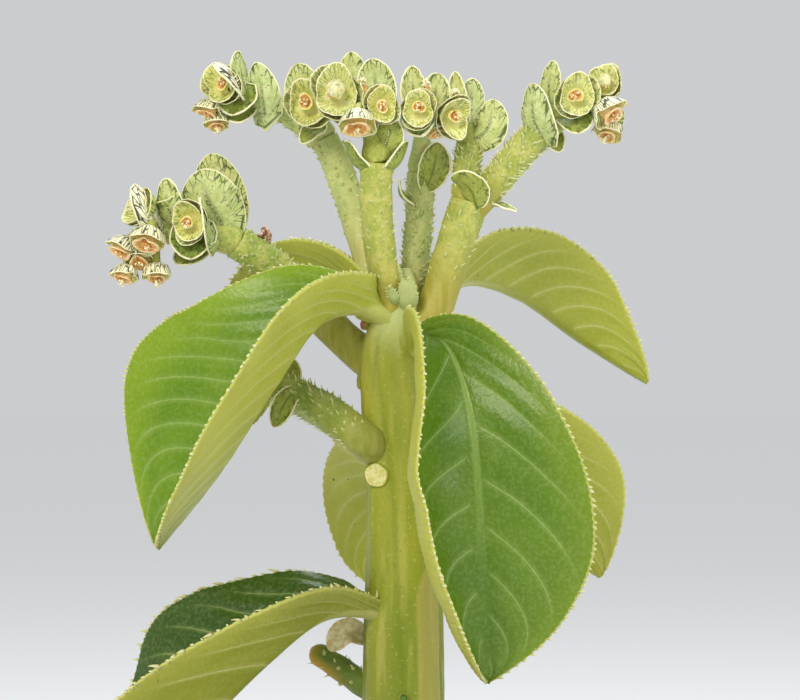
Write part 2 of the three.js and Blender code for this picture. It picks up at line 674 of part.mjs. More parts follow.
// A round disc that stands out of the stem
function scarSolid(scar, grow) {
  const { middle, radius } = stemAt(scar.z);
  const outward = new THREE.Vector3(Math.cos(scar.angle), Math.sin(scar.angle), 0);
  const height = scar.height + SCAR_SUNK + grow;
  const top = scar.radius * SCAR_TOP + grow;
  const disc = new THREE.CylinderGeometry(top, scar.radius + grow, height, SCAR_SIDES);
  const place = middle.addScaledVector(outward, radius - SCAR_SUNK + height / 2);
  return planted(disc, place, outward);
}

// Stalks

function stalkRods(stalk, grow) {
  return stalk.lines.map((part) => {
    const line = lineThrough(part.points);
    const steps = Math.max(STALK_LEAST_STEPS, Math.round(line.getLength() / STALK_STEP));
    return rod(line, part.radii, STALK_SIDES, steps, grow);
  });
}

// Three-sided prickles set round a line by the golden angle, leaning to its tip
function prickleSolids(part, grow) {
  const line = lineThrough(part.points);
  const { from, to, count } = part.prickles;
  return Array.from({ length: count }, (unused, number) => {
    const share = THREE.MathUtils.lerp(from, to, (number + 0.5) / count);
    const along = line.getTangentAt(share);
    const first = new THREE.Vector3().crossVectors(along, UP).normalize();
    const second = new THREE.Vector3().crossVectors(along, first);
    const turn = number * GOLDEN_ANGLE;
    const outward = first.multiplyScalar(Math.cos(turn)).addScaledVector(second, Math.sin(turn));
    const height = PRICKLE.length + PRICKLE.sunk + grow * 2;
    const middle = between(part.radii, share) - PRICKLE.sunk + height / 2;
    const place = line.getPointAt(share).addScaledVector(outward, middle);
    const direction = outward.addScaledVector(along, PRICKLE.lean).normalize();
    return planted(new THREE.ConeGeometry(PRICKLE.root + grow, height, PRICKLE.sides), place, direction);
  });
}

// A stalk with its arms, prickles and bracts
function stalkSolid(stalk, grow) {
  const prickles = stalk.lines.flatMap((part) => prickleSolids(part, grow));
  const bracts = stalk.bracts.map((bract) => bractSolid(bract, grow));
  return join([...stalkRods(stalk, grow), ...prickles, ...bracts]);
}

// Flower heads

// A cup of two fused bracts on its bent pedicel, with the flower's short barrel inside it
function cupSolid(cup, axis) {
  const mouth = vector(cup.at);
  const facing = vector(cup.facing).normalize();
  const first = new THREE.Vector3().crossVectors(facing, UP).normalize();
  const second = new THREE.Vector3().crossVectors(facing, first);
  const depth = cup.radius * CUP.depth;
  const foot = mouth.clone().addScaledVector(facing, -depth);
  const root = nearestOn(axis, foot);
  const bend = foot.clone().addScaledVector(facing, -root.distanceTo(foot) * PEDICEL.bend);
  const pedicel = new THREE.QuadraticBezierCurve3(root, bend, foot);
  const pedicelRing = (share) => {
    const turn = new THREE.Quaternion().setFromUnitVectors(facing, pedicel.getTangent(share));
    const across = first.clone().applyQuaternion(turn);
    const beside = second.clone().applyQuaternion(turn);
    return ringAround(pedicel.getPoint(share), across, beside, CUP_SIDES, () => PEDICEL.radius);
  };
  const cupRing = (share, depthShare, tips = 0, wall = 0) => {
    const size = cup.radius * share - wall;
    const centre = mouth.clone().addScaledVector(facing, -cup.radius * depthShare);
    const radiusAt = (angle) => size * (1 + tips * Math.cos(2 * angle));
    const liftAt = (angle) => tips * size * (1 + Math.cos(2 * angle));
    return ringAround(centre, first, second, CUP_SIDES, radiusAt, liftAt);
  };
  const rings = [
    pedicelRing(0),
    pedicelRing(PEDICEL.ring),
    cupRing(CUP.foot, CUP.depth),
    cupRing(CUP.waist, CUP.waistDepth, CUP.tips / 2),
    cupRing(1, 0, CUP.tips),
    cupRing(1, 0, CUP.tips, CUP_WALL),
    cupRing(CUP.well, CUP.wellDepth),
    cupRing(CUP.flower, 0),
  ];
  return solid(loft(rings));
}

// The place on a line that is nearest to a point
function nearestOn(line, point) {
  const places = line.getSpacedPoints(AXIS_PLACES);
  const distances = places.map((place) => place.distanceTo(point));
  return places[distances.indexOf(Math.min(...distances))];
}

function headSolid(head) {
  const axis = lineThrough(head.axis);
  const pieces = [rod(axis, [AXIS.radius, AXIS.radius, AXIS.tip], AXIS.sides, AXIS.steps)];
  for (const cup of head.cups) {
    pieces.push(cupSolid(cup, axis));
  }
  for (const bract of head.bracts) {
    const root = nearestOn(axis, vector(bract.rib[0]));
    pieces.push(bractSolid({ ...bract, rib: [root.toArray(), ...bract.rib] }));
  }
  return join(pieces);
}

// Pot and soil

function innerRadius(height) {
  const share = (height - POT.floor) / (POT.height - POT.floor);
  return THREE.MathUtils.lerp(POT.innerFootRadius, POT.innerRimRadius, share);
}

function potSolid() {
  const bandFoot = POT.height - POT.bandHeight;
  const profile = [
    [0, 0],
    [POT.footRadius - POT.edge, 0],
    [POT.footRadius, POT.edge],
    [POT.wallTopRadius, bandFoot - POT.edge],
    [POT.bandRadius - POT.edge, bandFoot],
    [POT.bandRadius, bandFoot + POT.edge],
    [POT.bandRadius, POT.height - POT.edge],
    [POT.bandRadius - POT.edge, POT.height],
    [POT.innerRimRadius + POT.edge, POT.height],
    [POT.innerRimRadius, POT.height - POT.edge],
    [POT.innerFootRadius, POT.floor],
    [0, POT.floor],
  ];
  const turned = new THREE.LatheGeometry(profile.map(([r, z]) => new THREE.Vector2(r, z)), POT.sides);
  turned.rotateX(Math.PI / 2);
  const body = solid(turned);
  const drains = Array.from({ length: POT.drainCount }, (unused, number) => {
    const angle = ((number + 0.5) / POT.drainCount) * 2 * Math.PI;
    const drain = new THREE.CylinderGeometry(POT.drainRadius, POT.drainRadius, POT.floor * 4, POT.drainSides);
    drain.rotateX(Math.PI / 2);
    drain.translate(POT.drainOffset * Math.cos(angle), POT.drainOffset * Math.sin(angle), 0);
    return solid(drain);
  });
  return body.subtract(join(drains));
}

// The soil's surface: a low mound at the stem with small waves
function soilHeight(x, y) {
  const share = Math.hypot(x, y) / innerRadius(SOIL.top);
  const slow = Math.sin(x * SOIL.waveTurn) * Math.cos(y * SOIL.waveTurn);
  const quick = Math.sin((x - y) * 2 * SOIL.waveTurn) / 2;
  return SOIL.top + SOIL.mound * (1 - share ** 2) + SOIL.waves * (slow + quick);
}

function soilRing(height, radius) {
  return ringAround(new THREE.Vector3(0, 0, height), ACROSS, BACKWARD, SOIL.sides, () => radius);
}

function soilSolid() {
  const bottom = POT.floor + GAP;
  const rings = [soilRing(bottom, innerRadius(bottom) - GAP)];
  for (let ring = SOIL.rings; ring > 0; ring -= 1) {
    const radius = ((innerRadius(SOIL.top) - 2 * GAP) * ring) / SOIL.rings;
    rings.push(soilRing(SOIL.top, radius).map((point) => point.setZ(soilHeight(point.x, point.y))));
  }
  return join([solid(loft(rings)), ...pebbleSolids()]);
}

// Pebbles of a few sizes, spread evenly over the soil by the golden angle
function pebbleSolids() {
  return Array.from({ length: PEBBLES.count }, (unused, number) => {
    const distance = PEBBLES.nearest + PEBBLES.spread * Math.sqrt((number + 0.5) / PEBBLES.count);
    const x = distance * Math.cos(number * GOLDEN_ANGLE);
    const y = distance * Math.sin(number * GOLDEN_ANGLE);
    const size = PEBBLES.radius * (1 - (number % PEBBLES.sizes) / (2 * PEBBLES.sizes));
    const pebble = new THREE.OctahedronGeometry(size, 0);
    pebble.rotateZ(number);
    pebble.scale(1, 1, PEBBLES.flatness);
    pebble.translate(x, y, soilHeight(x, y) - PEBBLES.sunk);
    return solid(pebble);
  });
}

// The whole plant

const plant = new THREE.Group();

function addPiece(name, piece, material) {
  const { vertProperties, triVerts } = piece.getMesh();
  const geometry = new THREE.BufferGeometry();
  geometry.setAttribute("position", new THREE.BufferAttribute(vertProperties, 3));
  geometry.setIndex(new THREE.BufferAttribute(triVerts, 1));
  geometry.computeVertexNormals();
  const mesh = new THREE.Mesh(geometry, material);
  mesh.name = name;
  plant.add(mesh);
}

const grownStem = join([stemBody(GAP), ...SCARS.map((scar) => scarSolid(scar, GAP))]);
const grownStalks = STALKS.map((stalk) => stalkSolid(stalk, GAP));
const allGrown = join([grownStem, ...grownStalks]);

addPiece("pot", potSolid(), CLAY);
addPiece("soil", wholePiece(soilSolid().subtract(grownStem)), EARTH);

const youngLeaves = join(YOUNG_LEAVES.map((leaf) => bractSolid(leaf))).subtract(join(grownStalks));
const stem = join([stemBody(0), ...SCARS.map((scar) => scarSolid(scar, 0)), youngLeaves]);
addPiece("stem", wholePiece(stem), STEM_GREEN);

STALKS.forEach((stalk, number) => {
  const others = join([grownStem, ...grownStalks.slice(0, number)]);
  addPiece(stalk.name, wholePiece(stalkSolid(stalk, 0).subtract(others)), STALK_GREEN);
});

for (const leaf of LEAVES) {
  addPiece(leaf.name, wholePiece(leafSolid(leaf).subtract(allGrown)), LEAF_GREEN);
}

for (const head of HEADS) {
  addPiece(head.name, wholePiece(headSolid(head).subtract(allGrown)), FLOWER_GREEN);
}

export default plant;
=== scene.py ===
# Potted Euphorbia echinulata: the finished surfaces of the plant, its gritty soil and its clay pot.
# Shapes are worked out in millimetres, +Z up and the front to -Y, and made in metres by MM.

import bpy
import numpy as np
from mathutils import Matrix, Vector


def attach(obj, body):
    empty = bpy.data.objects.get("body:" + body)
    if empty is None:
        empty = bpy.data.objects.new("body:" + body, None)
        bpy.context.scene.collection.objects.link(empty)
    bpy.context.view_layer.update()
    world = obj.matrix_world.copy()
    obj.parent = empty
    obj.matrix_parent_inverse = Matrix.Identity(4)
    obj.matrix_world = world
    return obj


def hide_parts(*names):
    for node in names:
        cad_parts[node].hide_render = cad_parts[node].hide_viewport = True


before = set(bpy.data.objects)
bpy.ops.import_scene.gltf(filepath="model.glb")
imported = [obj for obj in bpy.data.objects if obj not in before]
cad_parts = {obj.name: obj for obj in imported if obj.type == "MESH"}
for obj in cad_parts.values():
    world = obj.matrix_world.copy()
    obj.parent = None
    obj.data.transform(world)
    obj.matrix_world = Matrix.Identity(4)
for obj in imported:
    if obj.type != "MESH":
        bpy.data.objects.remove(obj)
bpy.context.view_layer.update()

MM = 0.001
GAP = 0.3  # clearance of the soil from the pot, and half of its clearance from the stem
BACKWARD = np.array([0.0, 1.0, 0.0])
UP = np.array([0.0, 0.0, 1.0])

# The camera stands level with the leaves, as the photograph's does
CAMERA = {"x": -0.66, "distance": 650, "height": 212, "view_width": 176, "sensor": 36}

POT = {
    "height": 95,
    "foot_radius": 36,
    "wall_top_radius": 49,
    "band_height": 21,
    "band_radius": 55,
    "floor": 5,
    "inner_foot_radius": 31.5,
    "inner_rim_radius": 50.5,
    "edge": 1.2,
    "drain_count": 4,
    "drain_radius": 3.5,
    "drain_offset": 16,
}
POT_COLUMNS = 144
POT_STEP = 3  # the profile's points are no further apart
# The unevenness of the pot's wall and its size, and the wheel's rings with their radians for a millimetre
POT_WHEEL = {"uneven": 0.1, "uneven_size": 40, "ring": 0.06, "ring_turn": 1.9}
DRILL_HEIGHTS = (-10, 2.5, 10)
DRILL_COLUMNS = 32

SOIL = {"top": 84, "mound": 2.2, "waves": 0.45, "wave_turn": 0.3}
SOIL_BASE_RINGS = (2, 12, 22)  # radii of the rings under the soil
SOIL_TOP_RINGS = 50
SOIL_WALL_RINGS = 8
SOIL_HOLE = (78, 70, 62, 54)  # heights of the rings round the stem's root
ROOT_TIP = 57  # the root's radius is read no lower down
# Crumbs on the soil's top: height, size, seed and count of waves
CRUMBS = ((0.35, 4.5, 31, 5), (0.2, 1.9, 32, 7))
# Grains bedded in the soil's top: skin, number, radius and flatness
GRAINS = (
    ("pumice", 300, 1.25, 0.8), ("lava_grit", 330, 1.05, 0.8),
    ("bark_chip", 240, 1.6, 0.4), ("humus", 500, 0.9, 0.8),
)

# The stem's height, middle and radius, from the root's tip to the growing point
STEM = np.array([
    [56, 0.5, 1.5], [64, 0.3, 6], [74, 0, 10.4], [84, 0, 11.6], [104, 0.2, 10.4],
    [126, 0.1, 9.3], [148, 0.1, 8.7], [170, -0.2, 8.1], [184, -0.5, 7.6], [200, -1.9, 7.2],
    [212, -2.3, 6.5], [221, -1, 4.8], [227, 0, 3.2], [230, 0.3, 1.4],
])
STEM_ROWS = 320
STEM_COLUMNS = 100
STEM_RIDGES = 5
STEM_RIDGE_DEPTH = 0.03
STEM_TWIST = 30  # millimetres up the stem for each radian that the ridges turn
GROOVE = {"depth": 0.12, "width": 0.35}
# Unevenness of the stem's bark: height, size and seed of its waves
BARK_WAVES = ((0.14, 5, 11), (0.05, 1.6, 12))
BARK_STRETCH = 4  # the waves are drawn out up the stem

# Degrees round the stem and height of each leaf's base, from which a low ridge runs down and fades
LEAF_RIDGES = [(-136, 217), (-66, 210), (57, 214), (52, 203), (106, 177), (125, 215), (-134, 150)]
RIDGE_LIFT = 1.3
RIDGE_LENGTH = 42
RIDGE_WIDTH = 0.42

# The pale band low on the stem's front right: its middle and half width in radians, and its round top
BAND = {"angle": -0.8, "width": 0.45, "top": 165, "round": 9, "lift": 0.3}

# Heights where the stem's colours change: painted sheen at the front of the top, green low down, cork at the
# soil
FROST_HEIGHTS = (210, 222)
LOW_HEIGHTS = (140, 178)
AGE_HEIGHTS = (84, 112)

# Each disc's height, angle round the stem, angle that it faces, radius and height, with its skin
SCARS = [
    (184.7, -2.3, -1.93, 2.9, 0.9, "scar_cork"),
    (205, -2.9, -2.9, 1.7, 1.1, "stem_skin"),
    (217.5, -3.0, -2.6, 1.2, 2.3, "pink_bud"),
    (136.5, -1.57, -1.57, 1.1, 0.9, "green_bud"),
    (125, 0.9, 0.9, 2.6, 0.6, "old_cork"),
    (116, -1.9, -1.9, 2.6, 0.6, "old_cork"),
    (106, 2.3, 2.3, 2.7, 0.6, "old_cork"),
    (97, -0.6, -0.6, 2.8, 0.6, "old_cork"),
]
# A scar's wall from its sunk foot over the ring to its dished middle: radius and lift as shares.
# A lift below zero is in millimetres into the stem.
SCAR_WALL = (
    (1.0, -2.6), (1.06, -0.9), (1.02, 0.3), (0.95, 0.8), (0.86, 1.0), (0.74, 0.9), (0.45, 0.75), (0.15, 0.7),
)
SCAR_BARK_BANDS = 4
SCAR_COLUMNS = 40

# Small blades at the growing point
YOUNG_LEAVES = [
    {"rib": [(-1.5, -4, 221.5), (-2.2, -7, 223.5), (-3.2, -8, 226)], "face": (0.3, 1, 0.3), "width": 1.2},
    {"rib": [(-1, -3.5, 223), (-1.3, -5, 227), (-2, -5.4, 231.5)], "face": (0, 1, 0.1), "width": 1.2},
    {"rib": [(0.5, -4, 220), (1, -7, 223), (0.6, -7.4, 227.8)], "face": (0, 1, 0.2), "width": 2},
]

# Each leaf's rib runs from the stem to the tip, and face is the way its upper side looks.
# A half has its width, its bulge, its fold and curl in radians from the base to the tip, the width of
# its clasping base, and the share of its length over which it is held back.
# Tone is painted shade, from bright to deep green; specks are the strength of the dark specks below.
# Teeth are their spacing, their length, and how much longer the hooked ones are.
LEAVES = {
    "leaf_left": {
        "rib": [(-3, -3, 218.5), (-9.5, -9, 221.5), (-18, -14, 219),
                (-28.5, -16, 204.5), (-40.5, -13, 186), (-53.5, -8, 169)],
        "face": (-0.73, -0.49, 0.48),
        "veins": 13, "tone": 0.0, "specks": 0.0,
        "near": (25.5, 1.35, (1.05, 0.75, 0.6), (0.2, 0.1, 0.1), 6.5, 0),
        "far": (33, 1.45, (1.05, 0.72, 0.6), (0.1, -0.1, 0), 6.5, 0),
        "teeth": (1.3, 0.6, 0),
    },
    "leaf_front": {
        "rib": [(1, -3, 211), (5, -11, 214), (9.5, -18, 212), (14, -25, 199.5),
                (16, -27, 180.5), (17, -25, 159.5), (18, -20, 141)],
        "face": (0, -0.6, 0.8),
        "veins": 9, "tone": 0.35, "specks": 0.0,
        "near": (24.5, 1.45, (0.8, 0.3, 0.2), (0.2, 0.1, 0.1), 5, 0),
        "far": (30, 1.08, (0.4, 0.05, 0.1), (1.4, 1.6, 1.85, 2.1, 2.2), 2, 0.2),
        "teeth": (1.35, 0.65, 0),
    },
    "leaf_back_right_upper": {
        "rib": [(3, 1.5, 216.5), (8.5, 13, 225.5), (16.5, 24, 228),
                (28, 33, 224.5), (41.5, 38, 215), (57, 37, 204.5)],
        "face": (0.28, 0.67, 0.69),
        "veins": 11, "tone": 0.55, "specks": 0.7,
        "near": (14, 1.2, (1, 0.85, 0.6), (0.2, 0.2, 0.1), 4.5, 0),
        "far": (17, 1.35, (0.8, 0.65, 0.5), (0.1, 0, 0), 4.5, 0),
        "teeth": (1.5, 0.7, 0),
    },
    "leaf_back_right_lower": {
        "rib": [(1, 1, 205), (7, 9, 212), (12, 18, 212),
                (19, 30, 198), (33, 40, 178), (46.5, 42, 159)],
        "face": (0.6, 0.77, 0.3),
        "veins": 11, "tone": 0.55, "specks": 0.3,
        "near": (19, 2, (0.8, 0.5, 0.4), (0.2, 0.2, 0.1), 5, 0),
        "far": (19.5, 2.2, (0.8, 0.6, 0.5), (0.1, 0, 0), 5, 0),
        "teeth": (1.6, 0.45, 0),
    },
    "leaf_behind": {
        "rib": [(-2, 2, 180), (-4, 14, 185.5), (-5, 26, 184.5),
                (-6, 34, 176.5), (-6.5, 36, 167), (-7, 33, 157.5)],
        "face": (-0.1, 0.9, 0.3),
        "veins": 10, "tone": 0.0, "specks": 1.0,
        "near": (14, 1.4, (0.9, 0.5, 0.4), (0.2, 0.2, 0.1), 5, 0),
        "far": (14, 1.4, (0.9, 0.5, 0.4), (0.1, 0, 0), 5, 0),
        "teeth": (1.6, 0.45, 0),
    },
    "leaf_back_left_upper": {
        "rib": [(-4, 2, 217.5), (-9.5, 10, 226.5), (-16.5, 18, 229.5),
                (-25, 26, 226), (-32, 32, 213.5), (-35, 31, 195)],
        "face": (-0.3, 0.6, 0.75),
        "veins": 10, "tone": 0.2, "specks": 0.0,
        "near": (13, 1.4, (0.8, 0.5, 0.4), (0.2, 0.2, 0.1), 4.5, 0),
        "far": (14, 1.4, (0.8, 0.3, 0.3), (0.1, 0, 0), 4.5, 0),
        "teeth": (1.3, 0.8, 0),
    },
    "leaf_lower_left": {
        "rib": [(-3.5, -3, 153.5), (-9, -8, 155.8), (-17.5, -13.5, 155),
                (-29, -17.5, 146), (-46, -17, 129.5), (-66, -10, 111.5)],
        "face": (-0.42, -0.3, 0.86),
        "veins": 9, "tone": 1.0, "specks": 0.5,
        "near": (29, 1.7, (0.95, 0.93, 0.8), (0.2, 0.1, 0.1), 3, 0),
        "far": (30, 1.3, (0.6, 0.61, 0.4), (0.1, 0, 0), 9, 0),
        "teeth": (1.6, 0.7, 1.3),
    },
}
LEAF_ROWS_PER_MM = 2.5
# A leaf's blade: half of its tip's width, its outline's power, the share that rounds the fold, its
# columns, and its thickness from the base to the tip at the rib and at the margins
LEAF_BLADE = {
    "tip": 0.5, "fullness": 0.8, "soft_rib": 0.12, "columns": 14,
    "rib_thickness": (3.4, 2.2, 2.2, 1.2), "edge_thickness": (1.6, 0.9, 0.9, 0.9),
}
CLASP = 0.35  # share of a blade's length over which its base narrows to nothing
BEND_STEPS = 80  # steps in which a blade's bend is summed up
# Where a blade rounds off to its margin, over what width and how bluntly, and the places of its columns there
MARGIN = {"from": 0.955, "width": 0.045, "blunt": 0.04, "steps": (0.972, 0.986, 0.995, 1.0)}
# How veins lean and curve to the tip and waver, in counts of veins
VEINS = {"lean": 0.15, "curve": 0.13, "waver": 0.12}
# A leaf's pads and slow waves, and the channel over its rib and the keel under it, with their widths
RELIEF = {"pads": 0.2, "waves": 0.12, "rib": 0.5, "channel": 0.07, "keel": 0.09}
# A leaf's margin ripples once a tooth and slowly along the blade
RIPPLE = {"tooth": 0.14, "slow": 0.15, "slow_length": 3.1}
# Where teeth start along a margin and how far they run, how deep and how near the edge they are rooted,
# how much the hooked ones bend, and the length below which they are thinner
TEETH = {"from": 0.04, "span": 0.955, "sunk": 0.3, "reach": 0.97, "hook_bend": 0.25, "full_length": 0.6}
YOUNG_TEETH = (0.8, 0.45, 0)  # spacing, length and hook on the young leaves

# How far the colour of a stalk or a head's axis goes towards deep green, ripe yellow and a pale green.
# The deep green is partly painted shade, and the pale green is painted sheen.
PLAIN_TONE = (0, 0, 0)
WARM_TONE = (0.05, 0.15, 0)
PALE_TONE = (0, 0, 0.35)
STALK_TONES = {
    "side_shoot": (0.75, 0, 0), "stalk_low": (0.3, 0, 0), "stalk_centre": (0, 0.15, 0),
    "flowers_centre": (0, 0.15, 0), "stalk_right": WARM_TONE, "flowers_right": WARM_TONE,
    "flowers_right_inner": WARM_TONE, "stalk_left_top": PALE_TONE, "stalk_inner": PALE_TONE,
    "flowers_left_top": PALE_TONE, "flowers_left_inner": PALE_TONE, "flowers_inner": PALE_TONE,
}
# Stalks' bracts are dark ones, whose deep green is painted shade, apart from these
STALK_BRACT_SKINS = {"side_shoot": "dry_bract", "stalk_left": "withered"}
STALK_ROWS_PER_MM = 2
STALK_COLUMNS = 36
# The side shoot ends round: where its end starts, and how much of the radius it loses
ROUND_END = {"from": 0.87, "loss": 0.97}
GOLDEN_ANGLE = 2.39996  # radians from one prickle to the next
PRICKLE_CROWD = 1.6  # prickles made for each one in the table
# A prickle's length and thickness, how deep it and its bump are sunk, and the bump's radius
PRICKLE = {"length": (0.7, 1.3), "thickness": (0.2, 0.3), "sunk": 0.12, "bump_sunk": 0.22, "bump": (0.4, 0.6)}

# Each line of a stalk has its points, its radii, and its prickles' start, end and number.
# A bract has its rib, its face and half of its width.
STALKS = {
    "stalk_centre": {
        "lines": [
            ([(-2, -1, 219), (-4, -4, 228.5), (-5.5, -5, 238), (-6, -6, 247), (-5.5, -7, 253)],
             (3.4, 3.4, 3.5, 3.6), (0.25, 0.97, 34)),
        ],
        "bracts": [
            ([(-7, -8, 250.5), (-10.5, -8, 252.5), (-12.6, -7.5, 257.5)], (0.7, 0.2, 0.6), 3.8),
            ([(-4, -8, 250.5), (-1, -8, 252.5), (1, -7.5, 257.5)], (-0.7, 0.2, 0.6), 3.6),
        ],
    },
    "stalk_left_top": {
        "lines": [
            ([(-3.5, 4, 219), (-8, 9, 233), (-12, 11, 245.5), (-15, 11, 254), (-17.5, 10.5, 259.5)],
             (3.2, 3.3, 3.3, 3.2), (0.5, 0.97, 40)),
            ([(-16.5, 11, 257), (-22.5, 10, 262.5), (-27, 9, 265.5), (-31, 8, 267.5)],
             (2.9, 2.6, 2.5), (0.15, 0.97, 60)),
        ],
        "bracts": [],
    },
    "stalk_inner": {
        "lines": [
            ([(0.5, 3, 221), (2.5, 6, 231), (3.5, 8, 240), (4, 8, 251.5)],
             (2.9, 3, 3.1), (0.15, 0.97, 110)),
        ],
        "bracts": [
            ([(5, 6, 247.5), (6.8, 3.2, 252.5), (7.6, 1.5, 258)], (0.1, -0.93, -0.3), 3.3),
            ([(2, 6.5, 244.5), (-0.5, 3.5, 246.5), (-1, 1, 249.5)], (0.3, -0.6, 0.8), 1.9),
        ],
    },
    "stalk_right": {
        "lines": [
            ([(3, -1, 211), (7.5, 0, 223), (11.5, 0, 235), (14.5, 0, 244.5)],
             (4, 4.1, 4.2), (0.5, 0.97, 24)),
            ([(13.5, 0, 242), (14, 1, 250), (14.5, 2, 257)],
             (3.1, 3, 3), (0.25, 0.97, 60)),
            ([(14.5, 0, 242), (21.5, 0, 250.5), (27, 0, 257), (30.5, 0, 260.5)],
             (3.3, 3.4, 3.4), (0.2, 0.97, 105)),
        ],
        "bracts": [
            ([(16.5, -3.5, 243), (14.5, -5.5, 247.5), (10.5, -5.5, 250)], (0.2, 0.5, 0.8), 3.6),
            ([(18, -0.5, 244.5), (21.5, -0.5, 243.5), (25, -1, 242.5)], (0, -0.3, 1), 1.9),
        ],
    },
    "stalk_left": {
        "lines": [
            ([(-3, 1, 206), (-13, 6, 214.5), (-19, 9.5, 220.5),
              (-26.5, 10, 228.5), (-33, 8, 233.5), (-37, 6.5, 236)],
             (4.2, 4, 3.8, 3.7), (0.45, 0.98, 120)),
        ],
        "bracts": [
            ([(-30.5, 9, 235), (-31, 7.5, 237), (-32.8, 6.5, 237.2)], (0.4, 0.5, 0.8), 1.1),
            ([(-30.5, 9, 235), (-30, 8.5, 237.5), (-31.5, 8.5, 239.2)], (-0.6, -0.7, 0.2), 0.9),
        ],
    },
    "stalk_low": {
        "lines": [
            ([(-5.5, -1, 190.3), (-7.8, -5.5, 191.8), (-12, -4.5, 195), (-18.5, 0.5, 199.5),
              (-26, 5.5, 203), (-33.5, 10, 207), (-38, 11.5, 210)],
             (4.1, 4, 3.7, 3.3), (0.18, 0.97, 130)),
        ],
        "bracts": [
            ([(-23, 2, 203.5), (-25.5, -0.5, 201), (-28.5, -0.5, 195)], (0, -0.9, 0.4), 2.4),
            ([(-23.5, 5.5, 204), (-24.5, 7, 207), (-24.5, 8, 210)], (0, -0.9, 0.3), 1.8),
        ],
    },
    "side_shoot": {
        "lines": [
            ([(-4, 1, 135.5), (-12, 5, 140), (-20.4, 6.5, 145.7)],
             (3, 2.8, 2.4), (0.3, 0.9, 14)),
        ],
        "bracts": [
            ([(-8, 2.5, 148), (-12, 1.5, 149.8), (-16.5, 1.5, 146)], (-0.2, -0.8, 0.6), 3),
        ],
    },
}

